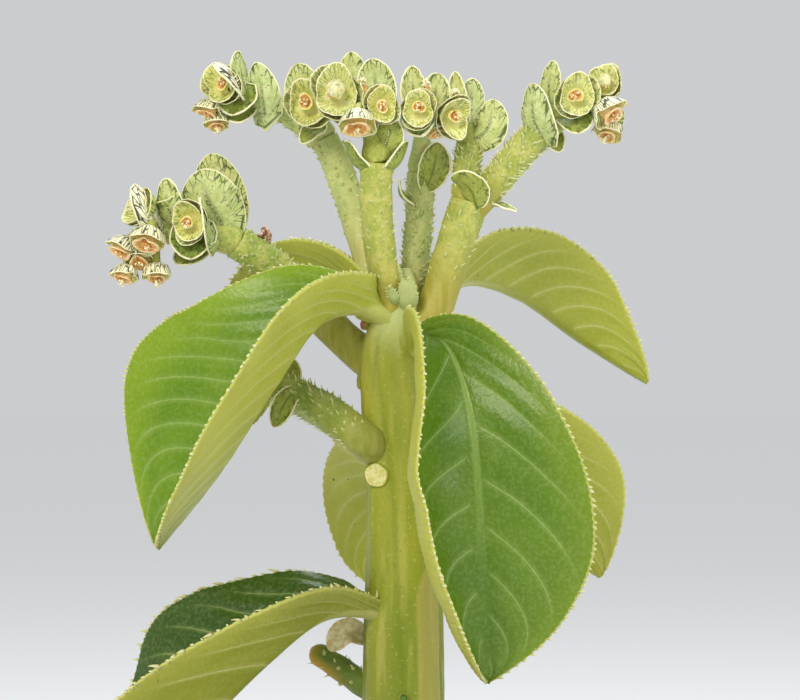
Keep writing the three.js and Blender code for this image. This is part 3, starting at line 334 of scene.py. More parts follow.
# Each head has the radius of its root, its axis, its bracts (rib, face, half width and for some a skin),
# its cups (mouth's middle, facing, radius and kind) and for some a tuft (root and tip).
HEADS = {
    "flowers_left": {
        "root": 3.8,
        "axis": [(-37.5, 6, 236.5), (-46, 5, 237.5), (-55, 4, 236.5)],
        "bracts": [
            ([(-40, 4, 239.5), (-43, 2, 245), (-44.5, 3, 252)], (0.2, 1, 0), 6.4),
            ([(-39.5, 8, 240.5), (-41.5, 10, 247.5), (-43, 11, 256)], (0.2, 1, 0.1), 5.6),
            ([(-41, 2, 236.5), (-43, -2, 239.5), (-44.5, -3, 245.5)], (-1, -0.2, 0), 4.6),
            ([(-44.5, 4, 235.5), (-47.5, 2, 233), (-50.5, 1, 231.5)], (0, -0.9, 0.4), 3),
            ([(-45.5, 2, 238), (-46.5, -1, 235.5), (-46.5, -3.5, 231.8)], (0, -1, 0.2), 4.6),
            ([(-53.5, 1, 238), (-56, -3.5, 243), (-59, -4.5, 248.2)], (-0.75, 0.6, 0), 3.2, "hood_outside"),
            ([(-49.5, 2, 239), (-51.5, -1, 243.5), (-52, -1.5, 249.8)], (0.4, 0.9, 0), 3.2, "bract_leaf"),
        ],
        "cups": [
            ((-47, -5, 240), (-0.3, -0.95, -0.1), 4, "open"),
            ((-52, 0, 246), (-0.5, -0.45, 0.75), 2.9, "open"),
            ((-58.5, -2, 243.5), (-0.7, -0.65, 0.3), 3.8, "bud"),
            ((-56, -6, 235), (-0.15, -0.52, -0.84), 4.3, "hood"),
            ((-62, -2, 233.5), (-0.5, -0.4, -0.75), 3.8, "hood"),
            ((-58, -1, 231.3), (0.1, -0.6, -0.8), 3.4, "hood"),
            ((-61.5, 0, 227.8), (-0.25, -0.35, -0.9), 3.3, "style"),
            ((-54, -1, 227.8), (0.1, -0.35, -0.95), 3.5, "style"),
            ((-52.5, 12, 242), (-0.4, 0.85, 0.35), 3.6, "open"),
            ((-59, 11, 235.5), (-0.55, 0.8, -0.25), 3.4, "open"),
        ],
    },
    "flowers_left_top": {
        "root": 2.7,
        "axis": [(-31.5, 8, 267.8), (-35.5, 6.5, 267.5), (-39, 5, 267)],
        "bracts": [
            ([(-30.5, 4, 264), (-31, 1.5, 268.5), (-32.5, 2, 275.5)], (0.3, 1, 0), 3.6),
            ([(-34.5, 4, 267), (-35.5, 1.5, 271.5), (-36.5, 1, 278)], (-0.8, 0.6, 0.1), 3),
            ([(-36.5, -1, 269), (-37.5, -5.5, 272), (-41.5, -6, 274.5)],
             (-0.4, 0.6, -0.7), 2.4, "hood_outside"),
            ([(-34.5, 5, 266), (-36.5, 2.5, 264), (-39, 1, 262.8)], (0, -0.9, 0.4), 2.6),
            ([(-36, 3, 268.5), (-37, 0.5, 266), (-37.5, -1, 263.5)], (-0.2, -1, 0), 4),
        ],
        "cups": [
            ((-40, -2, 270.5), (-0.3, -0.95, 0.15), 4.1, "open"),
            ((-43.2, 0, 264), (-0.35, -0.35, -0.86), 3.4, "hood"),
            ((-41, 2, 261.5), (0.1, -0.4, -0.9), 3.1, "style"),
            ((-39.5, 14, 270), (-0.2, 0.9, 0.3), 3.6, "open"),
        ],
    },
    "flowers_left_inner": {
        "root": 3.3,
        "axis": [(-18.2, 10.3, 260.8), (-19, 8, 263), (-20, 5, 265)],
        "bracts": [
            ([(-19, 11, 263), (-22, 13.5, 269.5), (-23.5, 14, 276.5)], (0, -1, 0.1), 4.2),
            ([(-18.5, 7, 261.5), (-20.5, 4, 260), (-22.5, 3, 257.5)], (-0.3, -0.9, 0.2), 2.2),
        ],
        "cups": [
            ((-21, -2, 266), (-0.15, -0.97, 0.1), 4.7, "open"),
            ((-17, 17, 268), (0.1, 0.95, 0.2), 3.6, "open"),
        ],
    },
    "flowers_centre": {
        "root": 3.7,
        "axis": [(-5.5, -7, 254), (-6.5, -6.5, 258), (-8, -5, 264)],
        "bracts": [
            ([(-6.5, -4, 263.5), (-6, -1.5, 270), (-7, -1.5, 276)], (0, -1, 0.1), 4.2),
            ([(-9, -2, 264.5), (-11, 4, 271.5), (-11.5, 5, 278.2)], (0, 1, 0), 3.8),
            ([(-5.5, -7, 254.5), (-3.5, -9.5, 257), (-2.5, -10, 262.5)], (0.2, 1, 0), 3, "dark_bract"),
        ],
        "cups": [
            ((-14.5, -9, 268), (-0.1, -0.98, 0.15), 5.2, "bud"),
            ((-9.9, -14.5, 259.8), (0, -0.52, -0.86), 4.3, "hood"),
            ((-4.5, -12.5, 265), (0.05, -1, 0), 3.6, "open"),
            ((-8, 2, 271), (0, -0.5, 0.85), 2.6, "open"),
            ((-11.5, 8, 266.5), (-0.1, 0.9, 0.35), 4, "open"),
        ],
        "tufts": [((-8, -4.5, 263.5), (-8.8, -5.2, 270.4))],
    },
    "flowers_inner": {
        "root": 3.2,
        "axis": [(4, 8, 252.5), (4.2, 5, 257), (4.2, 0, 262)],
        "bracts": [
            ([(3.5, -1, 262.5), (2.2, -1.5, 268), (2, -1, 274.5)], (0.3, -0.95, 0), 2.9),
            ([(5, 0.5, 262.5), (7, -0.5, 268), (7.5, 0, 273)], (0, -1, 0.1), 3.3),
            ([(3.5, -4.5, 262), (3.5, -7.5, 260), (4, -9.5, 258.3)], (0, -1, 0.2), 3.6),
        ],
        "cups": [
            ((3.2, -12, 264), (-0.05, -1, 0.05), 3.7, "open"),
            ((7.4, -5, 259.3), (0.3, -0.5, -0.8), 2.5, "hood"),
            ((5.5, 4, 269), (0.1, -0.4, 0.9), 2.6, "open"),
            ((3.5, 16, 265), (0, 0.9, 0.35), 3.8, "open"),
        ],
        "tufts": [((4.5, -3, 263.5), (5.1, -4.4, 270))],
    },
    "flowers_right_inner": {
        "root": 3.1,
        "axis": [(14.5, 2, 257.8), (14.4, 1.5, 260), (14, 0, 263)],
        "bracts": [
            ([(16, 0, 258.5), (18.5, -2.5, 260.5), (20, -2, 267)], (0.3, 0.9, 0), 3.8),
            ([(14.5, 2, 263), (15.2, 4.5, 268), (15.3, 5, 272.3)], (0, 1, 0), 2.8),
            ([(13, 1, 263), (11.8, 2, 269.5), (11.5, 2, 273.5)], (0, -1, 0), 2),
        ],
        "cups": [
            ((11.5, -7, 262.5), (0.45, -0.87, -0.18), 4, "open"),
            ((13.5, 10, 266.5), (0.1, 0.8, 0.55), 3.5, "open"),
        ],
        "tufts": [((13.5, -0.5, 262.5), (11.3, -3.6, 268.2))],
    },
    "flowers_right": {
        "root": 3.5,
        "axis": [(31, 0, 261), (36, 1, 263), (41, 2, 264)],
        "bracts": [
            ([(31.2, -2, 258.5), (28.8, -5, 262), (28.2, -4.5, 270.3)], (0.65, 0.75, 0.1), 4),
            ([(32, 2, 260.5), (33.5, 0, 257.5), (34.5, -1, 255.5)], (0.2, -0.9, 0.3), 2.4),
            ([(33.5, 2, 263), (32.2, 1, 269), (33.2, 1, 275.8)], (0.5, 0.85, 0), 2.6),
            ([(37, 0.5, 263.5), (38, -3, 261.8), (38.5, -4.5, 259.3)], (0, -1, 0.2), 3.8),
        ],
        "cups": [
            ((38, -6, 267.5), (0, -1, 0.05), 4.3, "open"),
            ((44.2, 0, 271), (-0.1, -0.85, 0.5), 3.8, "bud"),
            ((45.8, -4, 263.3), (0.62, -0.42, -0.66), 4.3, "hood"),
            ((45, 1, 259.3), (-0.2, -0.4, -0.85), 3.6, "style"),
            ((41.5, 12, 268.5), (0, 0.9, 0.35), 3.8, "open"),
            ((46.5, 10.5, 265), (0.6, 0.8, 0), 3.4, "open"),
        ],
    },
    "flowers_low": {
        "root": 3.4,
        "axis": [(-39, 12, 210.8), (-41, 12, 211.5), (-43, 12, 212)],
        "bracts": [
            ([(-40.5, 10.5, 211.5), (-42, 8, 214), (-44.5, 8, 217.5)], (0, -1, 0.3), 3.4),
            ([(-40.5, 13.5, 212), (-41.5, 16, 216), (-42.5, 17, 220)], (0, 1, 0), 3.4),
        ],
        "cups": [
            ((-43, 5.5, 210.5), (-0.4, -0.9, -0.1), 3.4, "open"),
            ((-47, 12, 208.5), (-0.8, 0, -0.6), 3.4, "open"),
            ((-45.5, 18.5, 213.5), (-0.3, 0.9, 0.3), 3.4, "open"),
        ],
    },
}
HEAD_OVERLAP = 1.5  # how far an axis starts inside its stalk
AXIS_STEPS = 21
AXIS_ROWS, AXIS_COLUMNS = 24, 40
# An axis's radii: shares of its root's radius, then millimetres
AXIS_ROOT_SHARES = (0.8, 0.95, 0.85)
AXIS_RADII = (2.3, 2.1, 1.8, 1.5)

BRACT_BLADE = {
    "tip": 0.0, "fullness": 0.5, "soft_rib": 0.25, "columns": 8,
    "rib_thickness": (1.0, 0.75, 0.55, 0.4), "edge_thickness": (0.5, 0.4, 0.4, 0.4),
}
# A bract half's fold, curl, width of its base and hold
BRACT_HALF = ((0.15, 0.1, 0.05), (0.45, 0.35, 0.3), 1.3, 0)
BRACT_SPREAD = 1.15
BRACT_ROWS = 28
BRACT_CREASE = {"height": 0.13, "size": 4}
BRACT_RIM = {"wave": 0.07, "length": 0.9}
KEEL_PRICKLES = 10
# How wide the net of veins spreads over a bract and a cup, as shares of their radius, and a bract's midvein
BRACT_NET = {"spread": 1.15, "midvein": 0.16}
CUP_NET = 1.1

CUP_COLUMNS = 48
CUP_ROWS = 26
COLLAR_ROWS = 16
CUP_BEADS = 15  # waves round the rim
CUP_DEPTH = 0.95  # from the foot to the mouth, as a share of the radius
# A cup's wobble three and five times round, its beads, and its notches' depth and width
CUP_FORM = {"three": 0.05, "five": 0.03, "bead": 0.014, "notch": 0.24, "notch_width": 0.22}
# A collar's tips, the radius of a cup above which it has one, and the collar's widest ring
COLLAR = {"tips": 0.12, "from_radius": 3.3, "widest": 1.18}
# Each kind of cup: whether it hangs, its tips, how far its mouth leans open at the back, and its
# flower's size and stand
CUP_KINDS = {
    "open": {"hangs": False, "tips": 0.14, "lean": 0, "flower": 0.85, "stand": 0.0},
    "bud": {"hangs": False, "tips": 0.14, "lean": 0, "flower": 0.7, "stand": -0.2},
    "hood": {"hangs": True, "tips": 0.06, "lean": 0.22, "flower": 1.4, "stand": 0.04},
    "style": {"hangs": True, "tips": 0.06, "lean": 0.22, "flower": 1.35, "stand": 0.06},
}
# A cup's wall, from its foot over the rim to the flower: radius and depth as shares of the cup's radius
CUP_WALL = np.array([
    [0.30, 0.97], [0.42, 0.94], [0.60, 0.83], [0.76, 0.63], [0.88, 0.38], [0.96, 0.15], [1.0, 0.0],
    [0.985, -0.03], [0.95, 0.01], [0.90, 0.10], [0.80, 0.28], [0.66, 0.45], [0.52, 0.55], [0.42, 0.57],
])
# A second, wider wall that stands behind an open cup
COLLAR_WALL = np.array([
    [0.50, 1.10], [0.80, 0.92], [1.02, 0.62], [1.16, 0.28], [1.18, 0.22],
    [1.15, 0.20], [1.11, 0.26], [0.98, 0.58], [0.77, 0.86], [0.50, 1.02],
])
# The flower: its barrel, the flared lip of its ring, and its shallow well
FLOWER_WALL = np.array([
    [0.36, 0.5], [0.33, 0.3], [0.36, 0.1], [0.43, -0.03], [0.46, -0.08], [0.43, -0.12],
    [0.34, -0.08], [0.24, 0.0], [0.1, 0.04],
])
RING_BANDS = 6  # bands of the flower's wall that are ring; the rest are its well
FLOWER_GAP = {"width": 0.35, "depth": 0.2}
PEDICEL_ROWS = 6
# Where a pedicel's last ring lies on its way to the foot, its radius at the axis and what it loses
PEDICEL = {"end": 0.94, "radius": 1.2, "taper": 0.2}

# Parts of the flowers: their numbers, and radii in millimetres, or in shares of the cup's for a closed cup
STAMENS = 10
SAC_RADII = (0.16, 0.3)
BUD_RADII = (0.2, 0.36, 0.4, 0.34, 0.06)
BUD_ROWS, BUD_COLUMNS = 18, 24
STYLE_ARMS = 3
STYLE_RADII = (0.35, 0.3, 0.26)
TUFT_SACS = 26
TUFT_RADII = (0.6, 0.75, 0.85, 0.5)

# Steps in which curves are walked and measured, how the lengths of waves spread, and the forms of
# small thorns and balls: shares of a thorn's length, its taper's power and left tip, a ball's first ring
CURVE_STEPS = 80
LENGTH_STEPS = 60
WAVE_SPREAD = (0.6, 1.5)
THORN_ROWS = (0, 0.35, 0.75, 1.0)
THORN_TAPER = 0.7
THORN_TIP = 0.06
BALL_POLE = 0.25

# The set: lights by place in metres, size, watts and colour, all turned to AIM, and a pale sky
LIGHTS = {
    "key_light": ((-0.5, -1.1, 0.9), 0.45, 10.5, "#fff6e6"),
    "fill_light": ((1.6, -1.2, 1.0), 0.8, 12, "#fffdf8"),
    "top_light": ((0.15, 0.5, 1.2), 0.7, 9, "#f4f8ff"),
}
AIM = (0, 0, 0.2)
SKY = ("#e6e8ea", 0.75)
FLOOR = {"radius": 9, "height": -0.0005, "sides": 96, "paint": "#e7e8e8", "glow": 0.1}

# Seeds of the pieces' random draws
SEEDS = {"stem": 5, "soil": 21, "pot": 41, "stalks": 100, "leaves": 200, "heads": 300}


# Small sums that the shapes share

def unit(vectors):
    """Each vector divided by its length."""
    return vectors / np.maximum(np.linalg.norm(vectors, axis=-1, keepdims=True), 1e-9)


def ramp(values, low, high):
    """A smooth step: 0 up to low, 1 from high on, and 3t² - 2t³ between them."""
    share = np.clip((np.asarray(values, float) - low) / (high - low), 0, 1)
    return share * share * (3 - 2 * share)


def even(values, share):
    """Values given at even places, read at each share from 0 to 1 with straight lines between."""
    return np.interp(share, np.linspace(0, 1, len(values)), values)


def circle(count):
    """Angles spread evenly once round, from 0."""
    return np.linspace(0, 2 * np.pi, count, endpoint=False)


def level_ring(angle):
    """Level unit vectors at the angles: (cos a, sin a, 0)."""
    return np.stack([np.cos(angle), np.sin(angle), 0 * angle], -1)


def spread(first, second, angle):
    """The directions first·cos a + second·sin a at each angle."""
    return np.cos(angle)[:, None] * first + np.sin(angle)[:, None] * second


def bell(distance):
    """A bell: 1 at no distance, and e to the minus square of the distance further off."""
    return np.exp(-(distance**2))


def wrapped(angle):
    """Angles brought to between minus and plus half a turn."""
    return np.angle(np.exp(1j * angle))


def parabola(start, corner, end, share):
    """A place on the parabola drawn to a corner: start·(1-t)² + 2·corner·t·(1-t) + end·t² at the share t."""
    return start * (1 - share) ** 2 + 2 * corner * share * (1 - share) + end * share**2


def line_through(points, shares, by_length=True):
    """A centripetal Catmull-Rom curve through the points, and its unit tangents, at the shares.

    Each stretch is a cubic whose end slopes come from its neighbours' spacing to the power one half.
    The shares count along its length, or else evenly by stretch.
    """
    knots = np.asarray(points, float)
    knots = np.vstack([2 * knots[0] - knots[1], knots, 2 * knots[-1] - knots[-2]])
    stretches = len(knots) - 3
    place = np.linspace(0, stretches, stretches * CURVE_STEPS + 1)
    low = np.minimum(place.astype(int), stretches - 1)
    t = (place - low)[:, None]
    p0, p1, p2, p3 = (knots[low + step] for step in range(4))
    gaps = np.sqrt(np.linalg.norm(np.diff(knots, axis=0), axis=1))
    d0, d1, d2 = (gaps[low + step][:, None] for step in range(3))
    slope1 = ((p1 - p0) / d0 - (p2 - p0) / (d0 + d1) + (p2 - p1) / d1) * d1
    slope2 = ((p2 - p1) / d1 - (p3 - p1) / (d1 + d2) + (p3 - p2) / d2) * d1
    curve = (
        p1 + slope1 * t
        + (3 * (p2 - p1) - 2 * slope1 - slope2) * t**2
        + (2 * (p1 - p2) + slope1 + slope2) * t**3
    )
    if by_length:
        walked = np.concatenate([[0], np.cumsum(np.linalg.norm(np.diff(curve, axis=0), axis=1))])
        place = walked / walked[-1]
    else:
        place = place / stretches
    at = np.stack([np.interp(shares, place, curve[:, axis]) for axis in range(3)], axis=-1)
    slope = np.gradient(curve, axis=0)
    tangent = np.stack([np.interp(shares, place, slope[:, axis]) for axis in range(3)], axis=-1)
    return at, unit(tangent)


def line_length(points):
    """The length of the curve through the points."""
    places, _ = line_through(points, np.linspace(0, 1, LENGTH_STEPS))
    return np.linalg.norm(np.diff(places, axis=0), axis=1).sum()


def nearest_on(line, point):
    """The place on a curve through the line's points that is nearest to a point."""
    places, _ = line_through(line, np.linspace(0, 1, AXIS_STEPS))
    return places[np.argmin(np.linalg.norm(places - point, axis=1))]


def waves(places, size, seed, count=5):
    """Smooth noise from about -1 to 1: a mean of sine waves in random directions, each about size long."""
    rng = np.random.default_rng(seed)
    total = 0
    for _ in range(count):
        direction = rng.normal(size=3)
        direction *= rng.uniform(*WAVE_SPREAD) * 2 * np.pi / size / np.linalg.norm(direction)
        total = total + np.sin(places @ direction + rng.uniform(0, 2 * np.pi))
    return total / np.sqrt(count)


class Shape:
    """The grids that make up one piece. Every grid is a closed body with its faces pointing outwards."""

    def __init__(self):
        self.points = []
        self.quads = []
        self.corners = []
        self.quad_skins = []
        self.corner_skins = []
        self.marks = []
        self.count = 0
        self.skins = []

    def skin_number(self, skin):
        """The place of a skin among the piece's materials."""
        if skin not in self.skins:
            self.skins.append(skin)
        return self.skins.index(skin)

    def add(self, grid, skin, **marks):
        """Adds rings of points: rows × columns × 3, or copies × rows × columns × 3.

        Rings close round their columns, and the end rings close to their own middles.
        A skin is one name, or a name for each band of rows. A mark is a number at each point.
        A body whose volume comes out below zero has its faces turned round.
        """
        grid = np.asarray(grid, float)
        if grid.ndim == 3:
            grid = grid[None]
        copies, rows, columns, _ = grid.shape
        names = [skin] * (rows - 1) if isinstance(skin, str) else skin
        bands = np.array([self.skin_number(name) for name in names])
        poles = grid[:, [0, -1]].mean(axis=2)
        points = np.concatenate([grid.reshape(copies, -1, 3), poles], axis=1)
        index = np.arange(rows * columns).reshape(rows, columns)
        beside = np.roll(index, -1, axis=1)
        quads = np.stack([index[:-1], beside[:-1], beside[1:], index[1:]], axis=-1).reshape(-1, 4)
        first_pole = np.full(columns, rows * columns)
        corners = np.concatenate([
            np.stack([beside[0], index[0], first_pole], axis=-1),
            np.stack([index[-1], beside[-1], first_pole + 1], axis=-1),
        ])
        triangles = np.concatenate([quads[:, [0, 1, 2]], quads[:, [0, 2, 3]], corners])
        a, b, c = (points[:, triangles[:, corner]] - points[:, :1] for corner in range(3))
        inward = np.einsum("nij,nij->n", a, np.cross(b, c)) < 0
        for copy in range(copies):
            step = -1 if inward[copy] else 1
            start = self.count + copy * points.shape[1]
            self.quads.append(quads[:, ::step] + start)
            self.corners.append(corners[:, ::step] + start)
        self.quad_skins.append(np.tile(np.repeat(bands, columns), copies))
        self.corner_skins.append(np.tile(np.repeat(bands[[0, -1]], columns), copies))
        self.points.append(points.reshape(-1, 3))
        self.count += copies * points.shape[1]
        made = {}
        for name, values in marks.items():
            full = np.broadcast_to(np.asarray(values, float), (copies, rows, columns))
            ends = full[:, [0, -1]].mean(axis=2)
            made[name] = np.concatenate([full.reshape(copies, -1), ends], axis=1).ravel()
        self.marks.append((copies * points.shape[1], made))

    def build(self, name, slot, *nodes):
        """Makes the piece's mesh in metres, gives it its materials, and lets it stand for the CAD nodes."""
        quads = np.concatenate(self.quads)
        corners = np.concatenate(self.corners)
        mesh = bpy.data.meshes.new(name)
        mesh.vertices.add(self.count)
        mesh.vertices.foreach_set("co", (np.concatenate(self.points) * MM).ravel())
        loops = np.concatenate([quads.ravel(), corners.ravel()])
        starts = np.concatenate([
            np.arange(len(quads)) * 4,
            len(quads) * 4 + np.arange(len(corners)) * 3,
        ])
        mesh.loops.add(len(loops))
        mesh.loops.foreach_set("vertex_index", loops)
        mesh.polygons.add(len(starts))
        mesh.polygons.foreach_set("loop_start", starts)
        skins = np.concatenate(self.quad_skins + self.corner_skins)
        mesh.polygons.foreach_set("material_index", skins)
        mesh.polygons.foreach_set("use_smooth", np.ones(len(starts), bool))
        mesh.update(calc_edges=True)
        for mark in sorted({key for _, made in self.marks for key in made}):
            values = [made.get(mark, np.zeros(size)) for size, made in self.marks]
            mesh.attributes.new(mark, "FLOAT", "POINT").data.foreach_set("value", np.concatenate(values))
        for skin in self.skins:
            mesh.materials.append(bpy.data.materials[skin])
        piece = bpy.data.objects.new(name, mesh)
        bpy.context.scene.collection.objects.link(piece)
        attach(piece, "root")
        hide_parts(*nodes)
        return piece


def rod(points, radii, rows, columns, swell=None):
    """Rings of a round rod: each ring is its middle plus radius × (first·cos a + second·sin a).

    first lies level across the line, and swell(share, angle) is added to the radius.
    """
    share = np.linspace(0, 1, rows)
    centre, along = line_through(points, share)
    first = unit(np.cross(along, BACKWARD))
    second = np.cross(along, first)
    angle = circle(columns)
    radius = even(radii, share)[:, None] + np.zeros(columns)
    if swell is not None:
        radius = radius + swell(share[:, None], angle)
    around = spread(first[:, None], second[:, None], angle)
    return centre[:, None] + around * radius[..., None]


def thorns(roots, directions, lengths, thickness, bend, sunk=0.35, columns=4):
    """Curved thorns, copies × rows × columns × 3: rings that narrow from root to tip and lean along bend.

    A ring at share t stands at root + direction·length·t + bend·length·t², and its radius is the
    thickness times (1 - t) to the power of the taper. The first ring is sunk into the ground.
    """
    directions = unit(np.asarray(directions, float))
    across = unit(np.cross(directions, unit(directions[:, [1, 2, 0]] + 0.3)))
    beside = np.cross(directions, across)
    lengths = np.asarray(lengths, float)[:, None, None]
    t = np.array(THORN_ROWS)[None, :, None]
    sink = sunk * (1 - t) * (t == 0)
    middle = np.asarray(roots, float)[:, None] + directions[:, None] * (lengths * t - sink)
    middle = middle + np.asarray(bend, float)[:, None] * lengths * t**2
    radius = np.asarray(thickness, float).reshape(-1, 1, 1) * np.maximum(1 - t, THORN_TIP) ** THORN_TAPER
    ring = spread(across[:, None], beside[:, None], circle(columns))
    return middle[:, :, None] + ring[:, None] * radius[..., None], t


def balls(centres, radii, columns=6, rows=4):
    """Small closed balls, copies × rows × columns × 3, as rings of latitude."""
    tilt = np.linspace(BALL_POLE, np.pi - BALL_POLE, rows)
    angle = circle(columns)
    ring = np.stack([
        np.sin(tilt)[:, None] * np.cos(angle),
        np.sin(tilt)[:, None] * np.sin(angle),
        np.cos(tilt)[:, None] + 0 * angle,
    ], axis=-1)
    return np.asarray(centres)[:, None, None] + ring[None] * np.asarray(radii).reshape(-1, 1, 1, 1)


# Colours and materials

def linear(colour):
    """An sRGB hex colour as linear red, green, blue and alpha."""
    shares = np.array([int(colour[place:place + 2], 16) for place in (1, 3, 5)]) / 255
    low = shares / 12.92
    high = ((shares + 0.055) / 1.055) ** 2.4
    return (*np.where(shares <= 0.04045, low, high), 1.0)


def add_node(tree, kind, settings=(), links=()):
    """A new node: settings name its properties or its inputs' values, and links its inputs' sources."""
    made = tree.nodes.new(kind)
    for name, value in dict(settings).items():
        if isinstance(name, str) and hasattr(made, name):
            setattr(made, name, value)
        else:
            made.inputs[name].default_value = value
    for name, source in dict(links).items():
        tree.links.new(source, made.inputs[name])
    return made


class Skin:
    """A material being made: its node tree, with short ways to the nodes that many skins need."""

    def __init__(self, name, settings):
        self.material = bpy.data.materials.new(name)
        self.material.use_nodes = True
        self.tree = self.material.node_tree
        self.tree.nodes.clear()
        self.shader = add_node(self.tree, "ShaderNodeBsdfPrincipled", settings)
        output = add_node(self.tree, "ShaderNodeOutputMaterial")
        self.tree.links.new(self.shader.outputs[0], output.inputs[0])
        self.place = add_node(self.tree, "ShaderNodeTexCoord").outputs["Object"]

    def mark(self, name):
        """The number that the mesh carries at each point under a name."""
        return add_node(self.tree, "ShaderNodeAttribute", {"attribute_name": name}).outputs["Fac"]

    def grain(self, size_mm, detail=2.0, stretch=(1, 1, 1)):
        """Noise from 0 to 1 with grains of about size_mm, drawn out along an axis by its stretch."""
        scale = [1 / length for length in stretch]
        mapping = add_node(self.tree, "ShaderNodeMapping", {"Scale": scale}, {"Vector": self.place})
        settings = {"Scale": 1 / (size_mm * MM), "Detail": detail}
        return add_node(self.tree, "ShaderNodeTexNoise", settings, {"Vector": mapping.outputs[0]}).outputs[0]

    def span(self, value, low, high, start=0.0, end=1.0):
        """The value's run from low to high, smoothly made a run from start to end."""
        settings = {"interpolation_type": "SMOOTHSTEP", 1: low, 2: high, 3: start, 4: end}
        return add_node(self.tree, "ShaderNodeMapRange", settings, {0: value}).outputs[0]

    def sum(self, operation, first, second):
        """Two numbers joined by a Math node, either of them a plain number."""
        made = add_node(self.tree, "ShaderNodeMath", {"operation": operation})
        for socket, value in zip(made.inputs, (first, second)):
            if isinstance(value, (int, float)):
                socket.default_value = value
            else:
                self.tree.links.new(value, socket)
        return made.outputs[0]

    def mix(self, share, first, second):
        """Two colours mixed by a share, each a hex colour or a socket."""
        made = add_node(self.tree, "ShaderNodeMix", {"data_type": "RGBA"})
        for socket, value in ((made.inputs[0], share), (made.inputs[6], first), (made.inputs[7], second)):
            if isinstance(value, str):
                socket.default_value = linear(value)
            elif isinstance(value, float):
                socket.default_value = value
            else:
                self.tree.links.new(value, socket)
        return made.outputs[2]

    def finish(self, colour, bump=None, depth_mm=0.1, roughness=None):
        """Joins the colour, the roughness and the bump of a height to the shader."""
        self.tree.links.new(colour, self.shader.inputs["Base Color"])
        if roughness is not None:
            self.tree.links.new(roughness, self.shader.inputs["Roughness"])
        if bump is not None:
            made = add_node(self.tree, "ShaderNodeBump", {"Distance": depth_mm * MM}, {"Height": bump})
            self.tree.links.new(made.outputs[0], self.shader.inputs["Normal"])
        return self.material


LIVING = {"Roughness": 0.46, "IOR": 1.4, "Specular IOR Level": 0.4,
          "Subsurface Weight": 0.1, "Subsurface Scale": 0.002}


def leaf_skin():
    """Succulent leaf: waxy and finely pebbled, so that light lies on it as a broad soft sheen.
    It is grass green above and yellow-green below, with pale veins and a yellower margin."""
    skin = Skin("leaf_skin", LIVING | {"Specular IOR Level": 0.5})
    reach = skin.mark("reach")
    under = skin.mark("under")
    patches = skin.grain(12, 3)
    pebbles = skin.grain(0.8, 1)

    # A vein lies where the veins' count passes a half, and its distance is in millimetres
    part = skin.sum("FRACT", skin.mark("turn"), 0.0)
    off = skin.sum("ABSOLUTE", skin.sum("SUBTRACT", part, 0.5), 0.0)
    distance = skin.sum("MULTIPLY", off, skin.mark("vein_space"))
    line = skin.span(distance, 0.5, 0.08)
    halo = skin.span(distance, 1.6, 0.1, 0, 0.35)
    fade = skin.sum("MULTIPLY", skin.span(reach, 0.03, 0.12), skin.span(reach, 0.95, 0.65))
    vein = skin.sum("MULTIPLY", skin.sum("MAXIMUM", line, halo), fade)
    rib = skin.span(skin.mark("from_rib"), 1.3, 0.5)
    rib = skin.sum("MULTIPLY", rib, skin.mark("rib"))
    vein = skin.sum("MAXIMUM", vein, rib)

    # Tone is painted shade: it darkens leaves that lie in shade towards deep green above and olive below
    tone = skin.mark("tone")
    upper = skin.mix(skin.span(patches, 0.3, 0.7), "#5d8304", "#6b8e10")
    upper = skin.mix(skin.span(reach, 0.55, 1.0, 0, 0.5), upper, "#8ca41a")
    upper = skin.mix(skin.sum("MULTIPLY", tone, 0.92), upper, "#284804")
    upper = skin.mix(skin.sum("MULTIPLY", vein, 0.4), upper, "#a9c070")
    lower = skin.mix(skin.span(patches, 0.3, 0.7), "#a6ae3a", "#b3b946")
    lower = skin.mix(skin.sum("MULTIPLY", tone, 0.6), lower, "#6f7a20")
    lower = skin.mix(skin.sum("MULTIPLY", vein, 0.5), lower, "#d3d28c")
    lower = skin.mix(skin.span(reach, 0.6, 1.0, 0, 0.35), lower, "#b9b552")
    specks = skin.span(skin.grain(1.5, 1), 0.765, 0.8, 0, 0.85)
    lower = skin.mix(skin.sum("MULTIPLY", specks, skin.mark("specks")), lower, "#2a2114")
    colour = skin.mix(under, upper, lower)
    colour = skin.mix(skin.span(skin.mark("away"), 0.45, 0.2, 0, 0.6), colour, "#c3c56a")
    colour = skin.mix(skin.span(pebbles, 0.4, 0.75, 0, 0.07), colour, "#d9e2a8")
    colour = skin.mix(skin.mark("tooth"), colour, "#dfdb9c")
    relief = skin.sum("SUBTRACT", pebbles, skin.sum("MULTIPLY", vein, 1.1))
    return skin.finish(colour, relief, 0.09, skin.span(under, 0, 1, 0.34, 0.5))


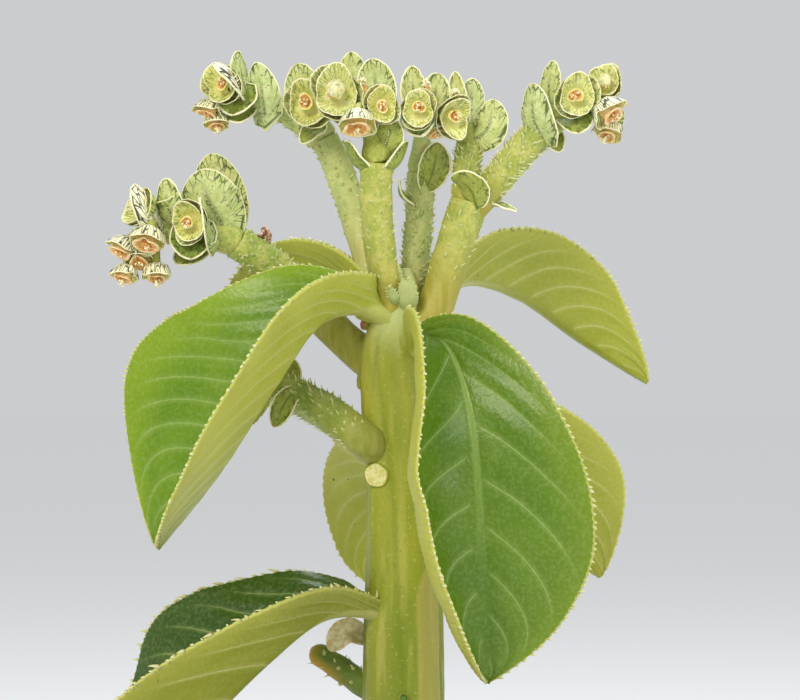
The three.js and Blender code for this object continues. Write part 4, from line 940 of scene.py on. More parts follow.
def stem_skin():
    """Succulent stem: glossy yellow-green bark with long pale and green streaks and green freckles."""
    skin = Skin("stem_skin", LIVING)
    streaks = skin.grain(2.2, 3, (1, 1, 9))
    patches = skin.grain(13, 3, (1, 1, 2))
    freckles = skin.grain(0.9, 1)
    dots = skin.grain(0.7, 0)
    colour = skin.mix(skin.span(patches, 0.3, 0.7), "#84911f", "#9da034")
    colour = skin.mix(skin.mark("low"), colour, "#627a0a")
    colour = skin.mix(skin.span(streaks, 0.5, 0.72, 0, 0.45), colour, "#b5b256")
    colour = skin.mix(skin.span(streaks, 0.45, 0.25, 0, 0.5), colour, "#6b8214")
    colour = skin.mix(skin.span(freckles, 0.6, 0.75, 0, 0.3), colour, "#617a16")
    colour = skin.mix(skin.span(dots, 0.7, 0.78, 0, 0.25), colour, "#c9c884")
    # The pale band, and a painted highlight on the ridges below the leaves
    colour = skin.mix(skin.mark("ridge"), colour, "#b0a456")
    # Painted shade in the grooves
    colour = skin.mix(skin.mark("groove"), colour, "#5f7313")
    # Painted sheen on the front of the stem's top, and the young leaves' own pale colour
    colour = skin.mix(skin.mark("frost"), colour, "#b4bf84")
    colour = skin.mix(skin.mark("age"), colour, "#84744a")
    fine = skin.sum("ADD", freckles, streaks)
    return skin.finish(colour, fine, 0.1)


def stalk_skin():
    """Flower stalk: pale yellow-green and smooth low down, mottled green where it is prickly."""
    skin = Skin("stalk_skin", LIVING)
    patches = skin.grain(4, 2)
    streaks = skin.grain(1.6, 2, (1, 1, 5))
    freckles = skin.grain(0.7, 1)
    smooth = skin.mix(skin.span(streaks, 0.35, 0.7), "#a09e3d", "#b7b05a")
    rough = skin.mix(skin.span(patches, 0.35, 0.65), "#99ab4f", "#bdc16c")
    rough = skin.mix(skin.span(freckles, 0.56, 0.7, 0, 0.6), rough, "#79973c")
    rough = skin.mix(skin.span(freckles, 0.42, 0.3, 0, 0.5), rough, "#d2d192")
    colour = skin.mix(skin.mark("height"), smooth, rough)
    # Deep green, partly painted shade on stalks that lie in shade
    colour = skin.mix(skin.mark("shade"), colour, "#3c6414")
    colour = skin.mix(skin.mark("ripe"), colour, "#b8982f")
    # Pale green, a painted sheen
    colour = skin.mix(skin.mark("frost"), colour, "#d9dfa8")
    colour = skin.mix(skin.mark("tooth"), colour, "#ece6b6")
    return skin.finish(colour, freckles, 0.12)


def net_skin(name, ground, bright, dark, low, high, strength, deep=0.0):
    """Bract tissue with a net of dark veins: lines at the edges of cells that are 0.9 mm across and
    drawn out towards the rim. They come in from low to high on the way to the rim, which is cream."""
    skin = Skin(name, LIVING | {"Roughness": 0.5})
    tree = skin.tree
    reach = skin.mark("reach")
    sockets = {"X": skin.mark("net_x"), "Y": skin.mark("net_y"), "Z": skin.sum("MULTIPLY", reach, 2.2)}
    place = add_node(tree, "ShaderNodeCombineXYZ", {}, sockets)
    cells = {"feature": "DISTANCE_TO_EDGE", "Scale": 1.0}
    edges = add_node(tree, "ShaderNodeTexVoronoi", cells, {"Vector": place.outputs[0]}).outputs["Distance"]
    line = skin.span(edges, 0.1, 0.03)
    patches = skin.grain(1.3, 2)
    colour = skin.mix(skin.span(patches, 0.3, 0.7), ground, bright)
    colour = skin.mix(skin.sum("MULTIPLY", skin.mark("yellow"), 0.5), colour, "#dbd468")
    # Painted shade: olive towards the bottom of a cup, by the deep share
    colour = skin.mix(skin.span(reach, 0.7, 0.35, 0, deep), colour, "#9a8e2e")
    colour = skin.mix(skin.sum("MULTIPLY", line, skin.span(reach, low, high, 0, strength)), colour, dark)
    colour = skin.mix(skin.sum("MULTIPLY", skin.mark("vein"), strength), colour, dark)
    freckles = skin.span(skin.grain(0.55, 0), 0.68, 0.74, 0, 0.5)
    colour = skin.mix(freckles, colour, dark)
    colour = skin.mix(skin.span(skin.mark("away"), 0.34, 0.2), colour, "#f1ecc4")
    colour = skin.mix(skin.mark("tooth"), colour, "#f1ecc4")
    return skin.finish(colour, patches, 0.12)


def plain_skin(name, ground, bright, size_mm, settings=()):
    """A skin of two colours in grains of size_mm."""
    skin = Skin(name, LIVING | {"Roughness": 0.55} | dict(settings))
    grains = skin.grain(size_mm, 2)
    colour = skin.mix(skin.span(grains, 0.35, 0.65), ground, bright)
    return skin.finish(colour, grains, 0.15)


def clay_skin():
    """Unglazed fired clay, thrown and dried: matte orange-brown with darker and paler clouds,
    fine sandy grain, faint rings from the wheel, and a pale bloom of lime low down and on the rim."""
    skin = Skin("fired_clay", {"Roughness": 0.9, "IOR": 1.45})
    clouds = skin.grain(28, 4)
    sand = skin.grain(0.7, 2)
    rings = skin.grain(2.2, 2, (40, 40, 1))
    colour = skin.mix(skin.span(clouds, 0.3, 0.7), "#a9583a", "#c27650")
    colour = skin.mix(skin.span(sand, 0.62, 0.75, 0, 0.5), colour, "#8a4630")
    colour = skin.mix(skin.span(sand, 0.36, 0.26, 0, 0.4), colour, "#dba37e")
    colour = skin.mix(skin.span(rings, 0.4, 0.7, 0, 0.18), colour, "#d79a76")
    bloom = skin.sum("MULTIPLY", skin.mark("bloom"), skin.span(clouds, 0.42, 0.66))
    colour = skin.mix(skin.sum("MULTIPLY", bloom, 0.55), colour, "#dccabb")
    height = skin.sum("ADD", sand, skin.sum("MULTIPLY", rings, 1.4))
    return skin.finish(colour, height, 0.22)


def humus_skin():
    """Damp potting earth: nearly black-brown crumbs with dry, paler ones between."""
    skin = Skin("humus", {"Roughness": 0.95})
    crumbs = skin.grain(2.2, 4)
    fine = skin.grain(0.6, 2)
    colour = skin.mix(skin.span(crumbs, 0.35, 0.65), "#3a2c20", "#6a5440")
    colour = skin.mix(skin.span(fine, 0.6, 0.75, 0, 0.6), colour, "#927a5e")
    return skin.finish(colour, skin.sum("ADD", crumbs, fine), 0.9)


def make_skins():
    """Every material of the part, made once."""
    leaf_skin()
    stem_skin()
    stalk_skin()
    clay_skin()
    humus_skin()
    # The inside of a cup: pale yellow-green with darker streaks towards the rim and painted olive shade deep
    # inside
    net_skin("cup_inside", "#dde08c", "#f1f3bd", "#5f8126", 0.45, 0.85, 0.65, 0.45)
    # The outside of an open cup: grey-green with a dark net
    net_skin("cup_outside", "#aec06c", "#c9d48e", "#3f5a22", 0.3, 0.8, 0.8)
    # The outside of a hanging cup: papery white with a black-green net
    net_skin("hood_outside", "#e9e9ca", "#f9f7e0", "#2a3216", 0.0, 0.45, 0.95)
    # A head's bract: grey-green with fanned veins near the rim
    net_skin("bract_leaf", "#a9bc78", "#c4d198", "#2f4a1a", 0.4, 0.8, 0.85)
    # A bract in the shade of the cups: deep green as painted shade, with faint veins
    net_skin("dark_bract", "#6a8434", "#879c4e", "#2c4517", 0.4, 0.9, 0.75)
    # The ring of a hanging flower: fleshy, peach-coloured and waxy
    plain_skin("gland", "#e9bd7a", "#f6dcae", 0.9, {"Roughness": 0.35})
    # The ring of an open flower: yellow-cream
    plain_skin("lip", "#d2cb6a", "#e9e2a2", 0.9, {"Roughness": 0.35})
    # The ring's inside: orange-brown
    plain_skin("gland_well", "#c98a40", "#e6ba78", 0.6, {"Roughness": 0.4})
    # Pollen sacs: cream grains
    plain_skin("anther", "#efe3a8", "#fbf6da", 0.3)
    # The stigma and its stalk: pale cream
    plain_skin("style", "#e6dfae", "#f3eecb", 0.5)
    # A young closed cup: cream with a faint net at its tip
    net_skin("bud", "#dcd898", "#efeac2", "#6b7434", 0.5, 0.95, 0.5)
    # A fresh stalk scar: cream cork with tan grains
    plain_skin("scar_cork", "#c6bf72", "#dcd69a", 0.9)
    # An old leaf scar: brown cork
    plain_skin("old_cork", "#7c6a42", "#a3905e", 0.8, {"Roughness": 0.8})
    # A young bud: dark green and shiny
    plain_skin("green_bud", "#3b5812", "#5f7d26", 0.8, {"Roughness": 0.3})
    # A scaly bud: pink-brown
    plain_skin("pink_bud", "#a8584a", "#d08a78", 0.6)
    # A dead bract: tan and papery
    plain_skin("dry_bract", "#dcc896", "#f5ebca", 1.2, {"Roughness": 0.7})
    # A withered flower: papery, brown and pink-cream
    plain_skin("withered", "#6d4034", "#dcbfa8", 0.8, {"Roughness": 0.85})
    # Pumice: cream-grey volcanic grit, full of pores
    plain_skin("pumice", "#a79d8a", "#d5ccb8", 0.5, {"Roughness": 0.95, "Subsurface Weight": 0.0})
    # Lava grit: dull red-brown
    plain_skin("lava_grit", "#4a2c22", "#7a4a38", 0.5, {"Roughness": 0.95, "Subsurface Weight": 0.0})
    # Bark chips: dark brown
    plain_skin("bark_chip", "#3b291b", "#6b4d33", 0.7, {"Roughness": 0.9, "Subsurface Weight": 0.0})


# Blades: leaves and bracts

def half_width(blade, half, share):
    """A half's width along the rib: the root of the squares of its swell, its clasping base and its tip.

    The swell is width × sin(π·share^bulge)^fullness, held back up to the half's hold;
    the base narrows to nothing, and the tip is blunt.
    """
    width, bulge, _, _, base, hold = half
    swell = np.clip(np.sin(np.pi * share**bulge), 0, 1) ** blade["fullness"]
    if hold:
        swell = swell * ramp(share, -0.3 * hold, hold)
    base = base * (1 - ramp(share, 0, CLASP))
    return np.sqrt((width * swell) ** 2 + base**2 + (blade["tip"] * share**4) ** 2)


def blade_frame(blade, share):
    """The rib's places, its tangents, the upper side's direction square to them, and the way across."""
    centre, along = line_through(blade["rib"], share)
    face = np.asarray(blade["face"], float)
    up = unit(face - along * (along @ face)[:, None])
    return centre, along, up, np.cross(along, up)


def blade_half(blade, share, reach, far, extra=0.0):
    """The middle surface of one half, its normals, its outward directions and its widths.

    Across the blade the angle is fold·s + curl·reach, where s rounds the fold at the rib.
    Its cosine and sine, summed along the reach and times the width, carry the surface out and up.
    """
    centre, _, up, side = blade_frame(blade, share)
    sign = 1 if far else -1
    half = blade["far"] if far else blade["near"]
    width = half_width(blade, half, share) + extra
    steps = np.linspace(0, 1, BEND_STEPS + 1)
    fold = even(half[2], share)[:, None] * ramp(steps, -0.02, blade["soft_rib"])
    angle = fold + even(half[3], share)[:, None] * steps
    middle = (angle[:, 1:] + angle[:, :-1]) / 2
    zero = np.zeros((len(share), 1))
    place = np.clip(reach, 0, 1) * BEND_STEPS
    low = np.minimum(place.astype(int), BEND_STEPS - 1)
    part = place - low

    def read(table):
        """A table's columns, read between its steps at the reaches."""
        return table[:, low] * (1 - part) + table[:, low + 1] * part

    def walked(parts):
        """The way gone at the reaches: the steps' parts summed up and multiplied by the width."""
        summed = np.concatenate([zero, np.cumsum(parts, axis=1)], axis=1)
        return read(summed) / BEND_STEPS * width[:, None]

    out = walked(np.cos(middle))
    rise = walked(np.sin(middle))
    angle = read(angle)[..., None]
    across = sign * side[:, None]
    surface = centre[:, None] + across * out[..., None] + up[:, None] * rise[..., None]
    normal = up[:, None] * np.cos(angle) - across * np.sin(angle)
    outward = across * np.cos(angle) + up[:, None] * np.sin(angle)
    return surface, normal, outward, width


def blade_shell(shape, blade, share, skin, relief=None, extra=0.0, marks=None, **plain):
    """Adds a blade: a ring at each row runs over the upper face from margin to margin and back below.

    The thickness runs straight from rib to margin and rounds off there, and relief lifts each face.
    """
    reach = np.concatenate([np.linspace(0, MARGIN["from"], blade["columns"]), MARGIN["steps"]])
    near, near_normal, _, near_width = blade_half(blade, share, reach, False, extra)
    far, far_normal, _, far_width = blade_half(blade, share, reach, True, extra)
    surface = np.concatenate([near[:, ::-1], far[:, 1:]], axis=1)
    normal = np.concatenate([near_normal[:, ::-1], far_normal[:, 1:]], axis=1)
    across = np.concatenate([-reach[::-1], reach[1:]])
    edge = np.abs(across)
    rib_half = even(blade["rib_thickness"], share)[:, None] / 2
    edge_half = even(blade["edge_thickness"], share)[:, None] / 2
    half = rib_half + (edge_half - rib_half) * edge
    past = np.clip(edge - MARGIN["from"], 0, 1) / MARGIN["width"]
    half = half * np.sqrt(np.clip(1 - past**2, MARGIN["blunt"], 1))
    above, below = relief(share[:, None], across) if relief else (0, 0)
    upper = surface + normal * (half + above)[..., None]
    lower = surface - normal * (half + below)[..., None]
    ring = np.concatenate([upper, lower[:, ::-1]], axis=1)
    width = np.where(across < 0, near_width[:, None], far_width[:, None])
    slope = np.gradient(width, share * line_length(blade["rib"]), axis=0)
    away = (1 - edge) * width / np.sqrt(1 + slope**2)
    made = marks(share[:, None], across, width, away) if marks else {}
    both = {name: np.concatenate([values, values[:, ::-1]], axis=1) for name, values in made.items()}
    both["under"] = np.concatenate([0 * width, 0 * width + 1], axis=1)
    shape.add(ring, skin, **both, **plain)


def vein_turn(veins, share, across):
    """The count of veins passed at a place: they leave the rib in turn, lean to the tip and curve more
    near the margin, and those of the two halves alternate."""
    reach = np.abs(across)
    turn = veins * (share - VEINS["lean"] * reach - VEINS["curve"] * reach**2) + 0.5 * (across > 0)
    return turn + VEINS["waver"] * np.sin(9 * share + 4 * across)


def leaf_relief(veins, seed):
    """The lift of a leaf's faces: soft pads between the veins, slow waves, a channel over the rib
    and a keel under it."""
    phase = np.random.default_rng(seed).uniform(0, 6)

    def relief(share, across):
        reach = np.abs(across)
        fade = np.sin(np.pi * np.minimum(reach * 1.05, 1))
        pads = RELIEF["pads"] * np.cos(2 * np.pi * vein_turn(veins, share, across)) * fade
        slow = RELIEF["waves"] * np.sin(7 * share + 3 * across + phase)
        channel = RELIEF["rib"] * bell(reach / RELIEF["channel"]) * (1 - 0.7 * share)
        keel = RELIEF["rib"] * bell(reach / RELIEF["keel"]) * (1 - share)
        return pads + slow - channel, keel - pads * 0.8 - slow
    return relief


def leaf_marks(veins, length):
    """The marks that the leaf's skin reads, worked out for its count of veins and its length."""
    def marks(share, across, width, away):
        reach = np.abs(across) + 0 * share
        return {
            "turn": vein_turn(veins, share, across),
            "vein_space": 0 * width + length / veins,
            "reach": reach,
            "from_rib": reach * width,
            "rib": (1 - ramp(share, 0.3, 0.85)) * 0.9 + 0 * width,
            "away": away,
        }
    return marks


def leaf_teeth(shape, blade, rng, spacing, length, hook, tone):
    """Horny teeth along both margins, one each spacing or so, leaning to the tip and a little up.
    Those of a hooked leaf are long ones with short ones between."""
    span = line_length(blade["rib"])
    for far in (False, True):
        count = int(span / spacing)
        place = (np.arange(count) + rng.uniform(0.2, 0.8, count)) / count
        share = TEETH["from"] + TEETH["span"] * place
        edge, normal, outward, width = blade_half(blade, share, np.array([TEETH["reach"]]), far)
        _, along, _, _ = blade_frame(blade, share)
        lean = along * rng.uniform(0.0, 0.5, (count, 1)) + normal[:, 0] * rng.uniform(-0.3, 0.4, (count, 1))
        direction = unit(outward[:, 0] + lean)
        sizes = length * rng.uniform(0.55, 1.2, count)
        long = (np.arange(count) % 3 == 1) * hook
        sizes = sizes * (1 + long)
        left = (1 - TEETH["reach"]) * width[:, None]
        root = edge[:, 0] + outward[:, 0] * left - direction * TEETH["sunk"]
        bend = along * (rng.uniform(0.0, 0.3, count) + TEETH["hook_bend"] * long)[:, None]
        thickness = rng.uniform(0.38, 0.6, count) * min(1, length / TEETH["full_length"])
        grid, part = thorns(root, direction, sizes + TEETH["sunk"], thickness, bend)
        tooth = np.clip(part * 1.2 + 0.35, 0, 0.9)
        shape.add(grid, "leaf_skin", tooth=tooth, reach=1.0, away=0.5, tone=tone, vein_space=9.0)


def leaf_piece(name, leaf, seed):
    """A leaf: its folded blade with veins, and its teeth."""
    rng = np.random.default_rng(seed)
    blade = leaf | LEAF_BLADE
    length = line_length(leaf["rib"])
    share = np.linspace(0, 1, int(length * LEAF_ROWS_PER_MM))
    spacing, size, hook = leaf["teeth"]
    by_tooth = RIPPLE["tooth"] * np.cos(2 * np.pi * share * length / spacing)
    slow = RIPPLE["slow"] * np.sin(share * length / RIPPLE["slow_length"] + seed)
    ripple = (by_tooth + slow) * ramp(share, 0.02, 0.1)
    shape = Shape()
    blade_shell(
        shape, blade, share, "leaf_skin", leaf_relief(leaf["veins"], seed), ripple,
        leaf_marks(leaf["veins"], length), tone=leaf["tone"], specks=leaf["specks"],
    )
    leaf_teeth(shape, blade, rng, spacing, size, hook, leaf["tone"])
    return shape.build(name + "_grown", "leaf", name)


# Bracts, cups and heads

def bract_marks(share, across, width, away):
    """Marks over a bract: its reach towards the rim, and its place round a point near its base."""
    widest = width.max()
    angle = np.arctan2(across * width, (share * 2 - 0.5) * widest)
    spokes = widest * BRACT_NET["spread"]
    vein = bell(across * width / BRACT_NET["midvein"]) * (1 - ramp(share, 0.55, 0.9))
    return {
        "net_x": np.cos(angle) * spokes,
        "net_y": np.sin(angle) * spokes,
        "reach": 1 - away / widest,
        "away": away,
        "vein": vein * 0.8,
    }


def add_bract(shape, rib, face, width, skin, rng, keel=True):
    """A round, spoon-shaped bract with a finely waved rim, and prickles along the lower half of its keel."""
    half = (width * BRACT_SPREAD, 1.0, *BRACT_HALF)
    blade = BRACT_BLADE | {"rib": rib, "face": unit(np.asarray(face, float)), "near": half, "far": half}
    share = (1 - np.cos(np.pi * np.linspace(0, 1, BRACT_ROWS))) / 2
    length = line_length(rib)
    seed = int(rng.integers(1000))

    def relief(along, across):
        """Low creases, the same on both faces."""
        along, across = np.broadcast_arrays(along, across)
        places = np.stack([along * length, across * width, 0 * across], -1)
        lift = BRACT_CREASE["height"] * waves(places, BRACT_CREASE["size"], seed)
        return lift, -lift

    waved = BRACT_RIM["wave"] * np.cos(share * length * 2 * np.pi / BRACT_RIM["length"])
    waved = waved * ramp(share, 0.1, 0.25) * (share < 0.97)
    blade_shell(shape, blade, share, skin, relief, waved, bract_marks, yellow=rng.uniform(0, 0.6), frost=0.75)
    if keel:
        count = KEEL_PRICKLES
        share = np.linspace(0.1, 0.65, count) + rng.uniform(-0.02, 0.02, count)
        centre, along, up, side = blade_frame(blade, share)
        direction = -up + side * rng.uniform(-0.5, 0.5, (count, 1)) + along * 0.35
        root = centre - up * 0.35
        grid, part = thorns(root, direction, rng.uniform(0.5, 0.9, count), np.full(count, 0.2), along * 0.3)
        shape.add(grid, skin, tooth=np.clip(part * 2, 0, 1), away=1.0)
    return blade


def turned(vectors, before, after):
    """Vectors turned by the least turn that takes one unit direction to another."""
    middle = before + after
    scaled = middle * (2 * (vectors @ middle) / (middle @ middle))
    return vectors - scaled + after * (2 * (vectors @ before))


def wall_rings(form, mouth, facing, first, second, radius, wall, rows):
    """Rings of a cup's wall, its rim's place among them, and each ring's way to the rim and size.

    Round the cup the radius is multiplied by 1 + tips·cos 2a and the mouth lifted by tips·(1 + cos 2a),
    so that two blunt tips stand at the top and the bottom and two notches at the sides.
    The mouth is lowered by lean·(1 - cos a) / 2, so that a hanging cup is open at its back.
    """
    profile, _ = line_through(np.c_[wall, np.zeros(len(wall))], np.linspace(0, 1, rows))
    angle = circle(CUP_COLUMNS)
    size, low = profile[:, :1], profile[:, 1:2]
    opened = ramp(size, 0.4, 1.0)
    tips, phase = form["tips"], form["phase"]
    wobble = CUP_FORM["three"] * np.sin(3 * angle + phase[0])
    wobble = wobble + CUP_FORM["five"] * np.sin(5 * angle + phase[1])
    waved = CUP_FORM["bead"] * np.cos(CUP_BEADS * angle) * ramp(size, 0.85, 1.0)
    notch = CUP_FORM["notch"] * bell((np.mod(angle, np.pi) - np.pi / 2) / CUP_FORM["notch_width"])
    back = form["lean"] * (1 - np.cos(angle)) / 2
    distance = radius * (size * (1 + tips * opened * np.cos(2 * angle)) + opened * wobble + waved)
    lift = radius * (opened * (tips * (1 + np.cos(2 * angle)) - notch + 1.3 * wobble - back) - low)
    rings = mouth + facing * lift[..., None] + spread(first, second, angle) * distance[..., None]
    walked = np.concatenate([[0], np.cumsum(np.linalg.norm(np.diff(profile, axis=0), axis=1))])
    rim = int(np.argmin(profile[:, 1]))
    return rings, rim, np.abs(walked - walked[rim]) * radius, profile[:, 0]


def pedicel_rings(root, foot, facing, first, second):
    """Rings of a cup's stalk: a parabola that leaves the head's axis and comes straight into the foot."""
    bend = foot - facing * np.linalg.norm(root - foot) * 0.5
    rings = []
    for share in np.linspace(0, PEDICEL["end"], PEDICEL_ROWS):
        tangent = unit((bend - root) * (1 - share) + (foot - bend) * share)
        ring = spread(turned(first, facing, tangent), turned(second, facing, tangent), circle(CUP_COLUMNS))
        radius = PEDICEL["radius"] - PEDICEL["taper"] * share
        rings.append(parabola(root, bend, foot, share) + radius * ring)
    return np.array(rings)


def flower_rings(middle, facing, first, second, radius, kind, phase, gap):
    """Rings of a cup's flower: its barrel and its fleshy ring, open like a horseshoe at the gap."""
    angle = circle(CUP_COLUMNS)
    opening = FLOWER_GAP["depth"] * bell(wrapped(angle - gap) / FLOWER_GAP["width"])
    fleshy = 1 + 0.12 * np.sin(2 * angle + phase[2]) + 0.06 * np.sin(3 * angle + phase[0])
    rings = []
    for size, low in FLOWER_WALL:
        lift = radius * (kind["stand"] * (low < 0.3) - low - opening * (low < 0.1))
        distance = radius * size * kind["flower"] * fleshy
        rings.append(middle + facing * lift[:, None] + spread(first, second, angle) * distance[:, None])
    return np.array(rings)


def cup_marks(radius, reach, away):
    """Marks over a cup's rings: places for the net of veins, the reach to the rim and the way left to it."""
    angle = circle(CUP_COLUMNS)
    return {
        "net_x": radius * CUP_NET * np.cos(angle),
        "net_y": radius * CUP_NET * np.sin(angle),
        "reach": reach[:, None] + 0 * angle,
        "away": away[:, None] + 0 * angle,
    }


def add_collar(shape, mouth, facing, first, second, radius, rng):
    """The second, wider wall behind an open cup, turned a little from the first."""
    turn = rng.uniform(0.3, 0.8) * rng.choice([-1, 1])
    first = first * np.cos(turn) + second * np.sin(turn)
    second = np.cross(facing, first)
    form = {"tips": COLLAR["tips"], "lean": 0, "phase": rng.uniform(0, 2 * np.pi, 3)}
    rings, rim, away, sizes = wall_rings(
        form, mouth, facing, first, second, radius, COLLAR_WALL, COLLAR_ROWS)
    bands = ["cup_outside"] * rim + ["cup_inside"] * (len(rings) - 1 - rim)
    shape.add(rings, bands, **cup_marks(radius, sizes / COLLAR["widest"], away), yellow=rng.uniform(0, 0.5))


def add_cup(shape, head_axis, cup, rng):
    """A cup of two bracts joined at their edges, on its bent pedicel, with the flower inside."""
    mouth, facing, radius, name = cup
    kind = CUP_KINDS[name]
    hangs = kind["hangs"]
    mouth = np.asarray(mouth, float)
    facing = unit(np.asarray(facing, float))
    level = unit(np.cross(facing, UP))
    spin = rng.uniform(-0.35, 0.35)
    first = np.cross(level, facing) * np.cos(spin) + level * np.sin(spin)
    second = np.cross(facing, first)
    form = kind | {"phase": rng.uniform(0, 2 * np.pi, 3)}
    gap = rng.uniform(0, 2 * np.pi)
    aside = rng.uniform(-0.13, 0.13, 2) * radius * (not hangs)
    middle = mouth + first * aside[0] + second * aside[1]
    foot = mouth - facing * CUP_DEPTH * radius

    stalk = pedicel_rings(nearest_on(head_axis, foot), foot, facing, first, second)
    wall, rim, away, sizes = wall_rings(form, mouth, facing, first, second, radius, CUP_WALL, CUP_ROWS)
    flower = flower_rings(middle, facing, first, second, radius, kind, form["phase"], gap)
    bands = (
        ["stalk_skin"] * PEDICEL_ROWS
        + ["hood_outside" if hangs else "cup_outside"] * rim
        + ["cup_inside"] * (len(wall) - rim)
        + ["gland" if hangs else "lip"] * RING_BANDS
        + ["gland_well"] * (len(flower) - 1 - RING_BANDS)
    )
    reach = np.concatenate([np.zeros(PEDICEL_ROWS), sizes, np.full(len(flower), 0.2)])
    away = np.concatenate([np.ones(PEDICEL_ROWS), away, np.ones(len(flower))])
    shape.add(
        np.concatenate([stalk, wall, flower]), bands,
        **cup_marks(radius, reach, away), height=0.6, yellow=rng.uniform(0, 0.8),
    )
    if not hangs and radius > COLLAR["from_radius"]:
        add_collar(shape, mouth, facing, first, second, radius, rng)
    add_flower_parts(shape, middle, facing, first, second, radius, name, rng)


def add_closed_cup(shape, mouth, facing, first, second, radius, rng):
    """A young closed cup that leans out of an open one."""
    side = first * 0.25 * radius + second * rng.uniform(-0.2, 0.2) * radius
    line = [
        mouth - facing * radius * 0.3,
        mouth + facing * radius * 0.15 + side * 0.3,
        mouth + facing * radius * 0.5 + side,
    ]
    share = np.linspace(0, 1, BUD_ROWS)[:, None]
    turn = circle(BUD_COLUMNS)
    net = {"net_x": 1.6 * np.cos(turn), "net_y": 1.6 * np.sin(turn)}
    grid = rod(line, np.array(BUD_RADII) * radius, BUD_ROWS, BUD_COLUMNS)
    shape.add(grid, "bud", **net, reach=share + 0 * turn, away=1.0)


def add_style(shape, mouth, facing, first, second, radius, rng):
    """A hooked style that hangs out of a cup, with three arms at its end."""
    side = first * rng.uniform(-0.5, 0.5) + second * rng.uniform(-0.5, 0.5)
    root = mouth - facing * radius * 0.3
    end = root + facing * radius * 0.95 + side * 1.6
    shape.add(rod([root, root + facing * radius * 0.6 + side, end], STYLE_RADII, 14, 8), "style")
    way = spread(first, second, circle(STYLE_ARMS) + rng.uniform(0, 2)) + facing * 0.4
    length = np.full(STYLE_ARMS, 1.3)
    grid, _ = thorns(end + 0 * way, way, length, np.full(STYLE_ARMS, 0.18), 0 * way - facing * 0.6)
    shape.add(grid, "style")


def add_flower_parts(shape, mouth, facing, first, second, radius, kind, rng):
    """What stands in a cup: stamens in a cluster, and a young closed cup or a hooked style."""
    turn = rng.uniform(0, 2 * np.pi, STAMENS)
    out = radius * 0.24 * np.sqrt(rng.random(STAMENS))
    height = rng.uniform(0.05, 0.3, STAMENS) * radius
    if kind == "bud":
        add_closed_cup(shape, mouth, facing, first, second, radius, rng)
        out = radius * rng.uniform(0.3, 0.45, STAMENS)
        height = height - radius * 0.05
    places = out[:, None] * spread(first, second, turn)
    beds = mouth + places * 0.8 + facing * height[:, None] * 0.5
    shape.add(balls(beds, rng.uniform(0.3, 0.5, STAMENS)), "gland_well")
    centres = mouth + facing * height[:, None] + places
    shape.add(balls(centres, rng.uniform(*SAC_RADII, STAMENS)), "anther")
    way = facing + 0 * centres
    length = np.full(STAMENS, radius * 0.4)
    grid, _ = thorns(centres - facing * radius * 0.4, way, length, np.full(STAMENS, 0.1), 0 * way, sunk=0)
    shape.add(grid, "anther")
    if kind == "style":
        add_style(shape, mouth, facing, first, second, radius, rng)


def add_tuft(shape, root, tip, rng):
    """A spent flower: an orange stalk that carries a round tuft of pollen sacs."""
    root, tip = np.asarray(root, float), np.asarray(tip, float)
    middle = (root + tip) / 2 + rng.uniform(-0.3, 0.3, 3)
    shape.add(rod([root, middle, tip], TUFT_RADII, 12, 12), "gland_well")
    way = unit(rng.normal(size=(TUFT_SACS, 3)) + (0, -0.4, 0.5))
    sacs = balls(tip + way * rng.uniform(0.7, 1.25, (TUFT_SACS, 1)), rng.uniform(0.2, 0.34, TUFT_SACS))
    shape.add(sacs, "anther")
    grid, _ = thorns(tip + 0 * way, way, np.ones(TUFT_SACS), np.full(TUFT_SACS, 0.16), 0 * way, sunk=0)
    shape.add(grid, "anther")


def head_piece(name, head, seed):
    """A flower head: its axis, which grows on from the stalk's end, with its bracts and cups."""
    rng = np.random.default_rng(seed)
    shape = Shape()
    axis = np.asarray(head["axis"], float)
    into_stalk = axis[0] - unit(axis[1] - axis[0]) * HEAD_OVERLAP
    middle, _ = line_through([into_stalk, *axis], np.linspace(0, 1, AXIS_ROWS))
    radii = (*(head["root"] * share for share in AXIS_ROOT_SHARES), *AXIS_RADII)
    # The axis takes its stalk's tones: partly painted shade, ripe yellow and painted sheen
    shade, ripe, frost = STALK_TONES.get(name, PLAIN_TONE)
    grid = rod(middle[::4], radii, AXIS_ROWS, AXIS_COLUMNS)
    shape.add(grid, "stalk_skin", height=1.0, shade=shade, ripe=ripe, frost=frost)
    for rib, face, width, *skins in head["bracts"]:
        # A drooping bract gets the dark skin, whose deep green is painted shade
        drooping = rib[-1][2] < rib[0][2]
        skin = (skins or ["dark_bract" if drooping else "bract_leaf"])[0]
        add_bract(shape, [nearest_on(axis, rib[0]), *rib], face, width, skin, rng)
    for cup in head["cups"]:
        add_cup(shape, axis, cup, rng)
    for root, tip in head.get("tufts", []):
        add_tuft(shape, root, tip, rng)
    return shape.build(name + "_grown", "flower", name)


# Stalks

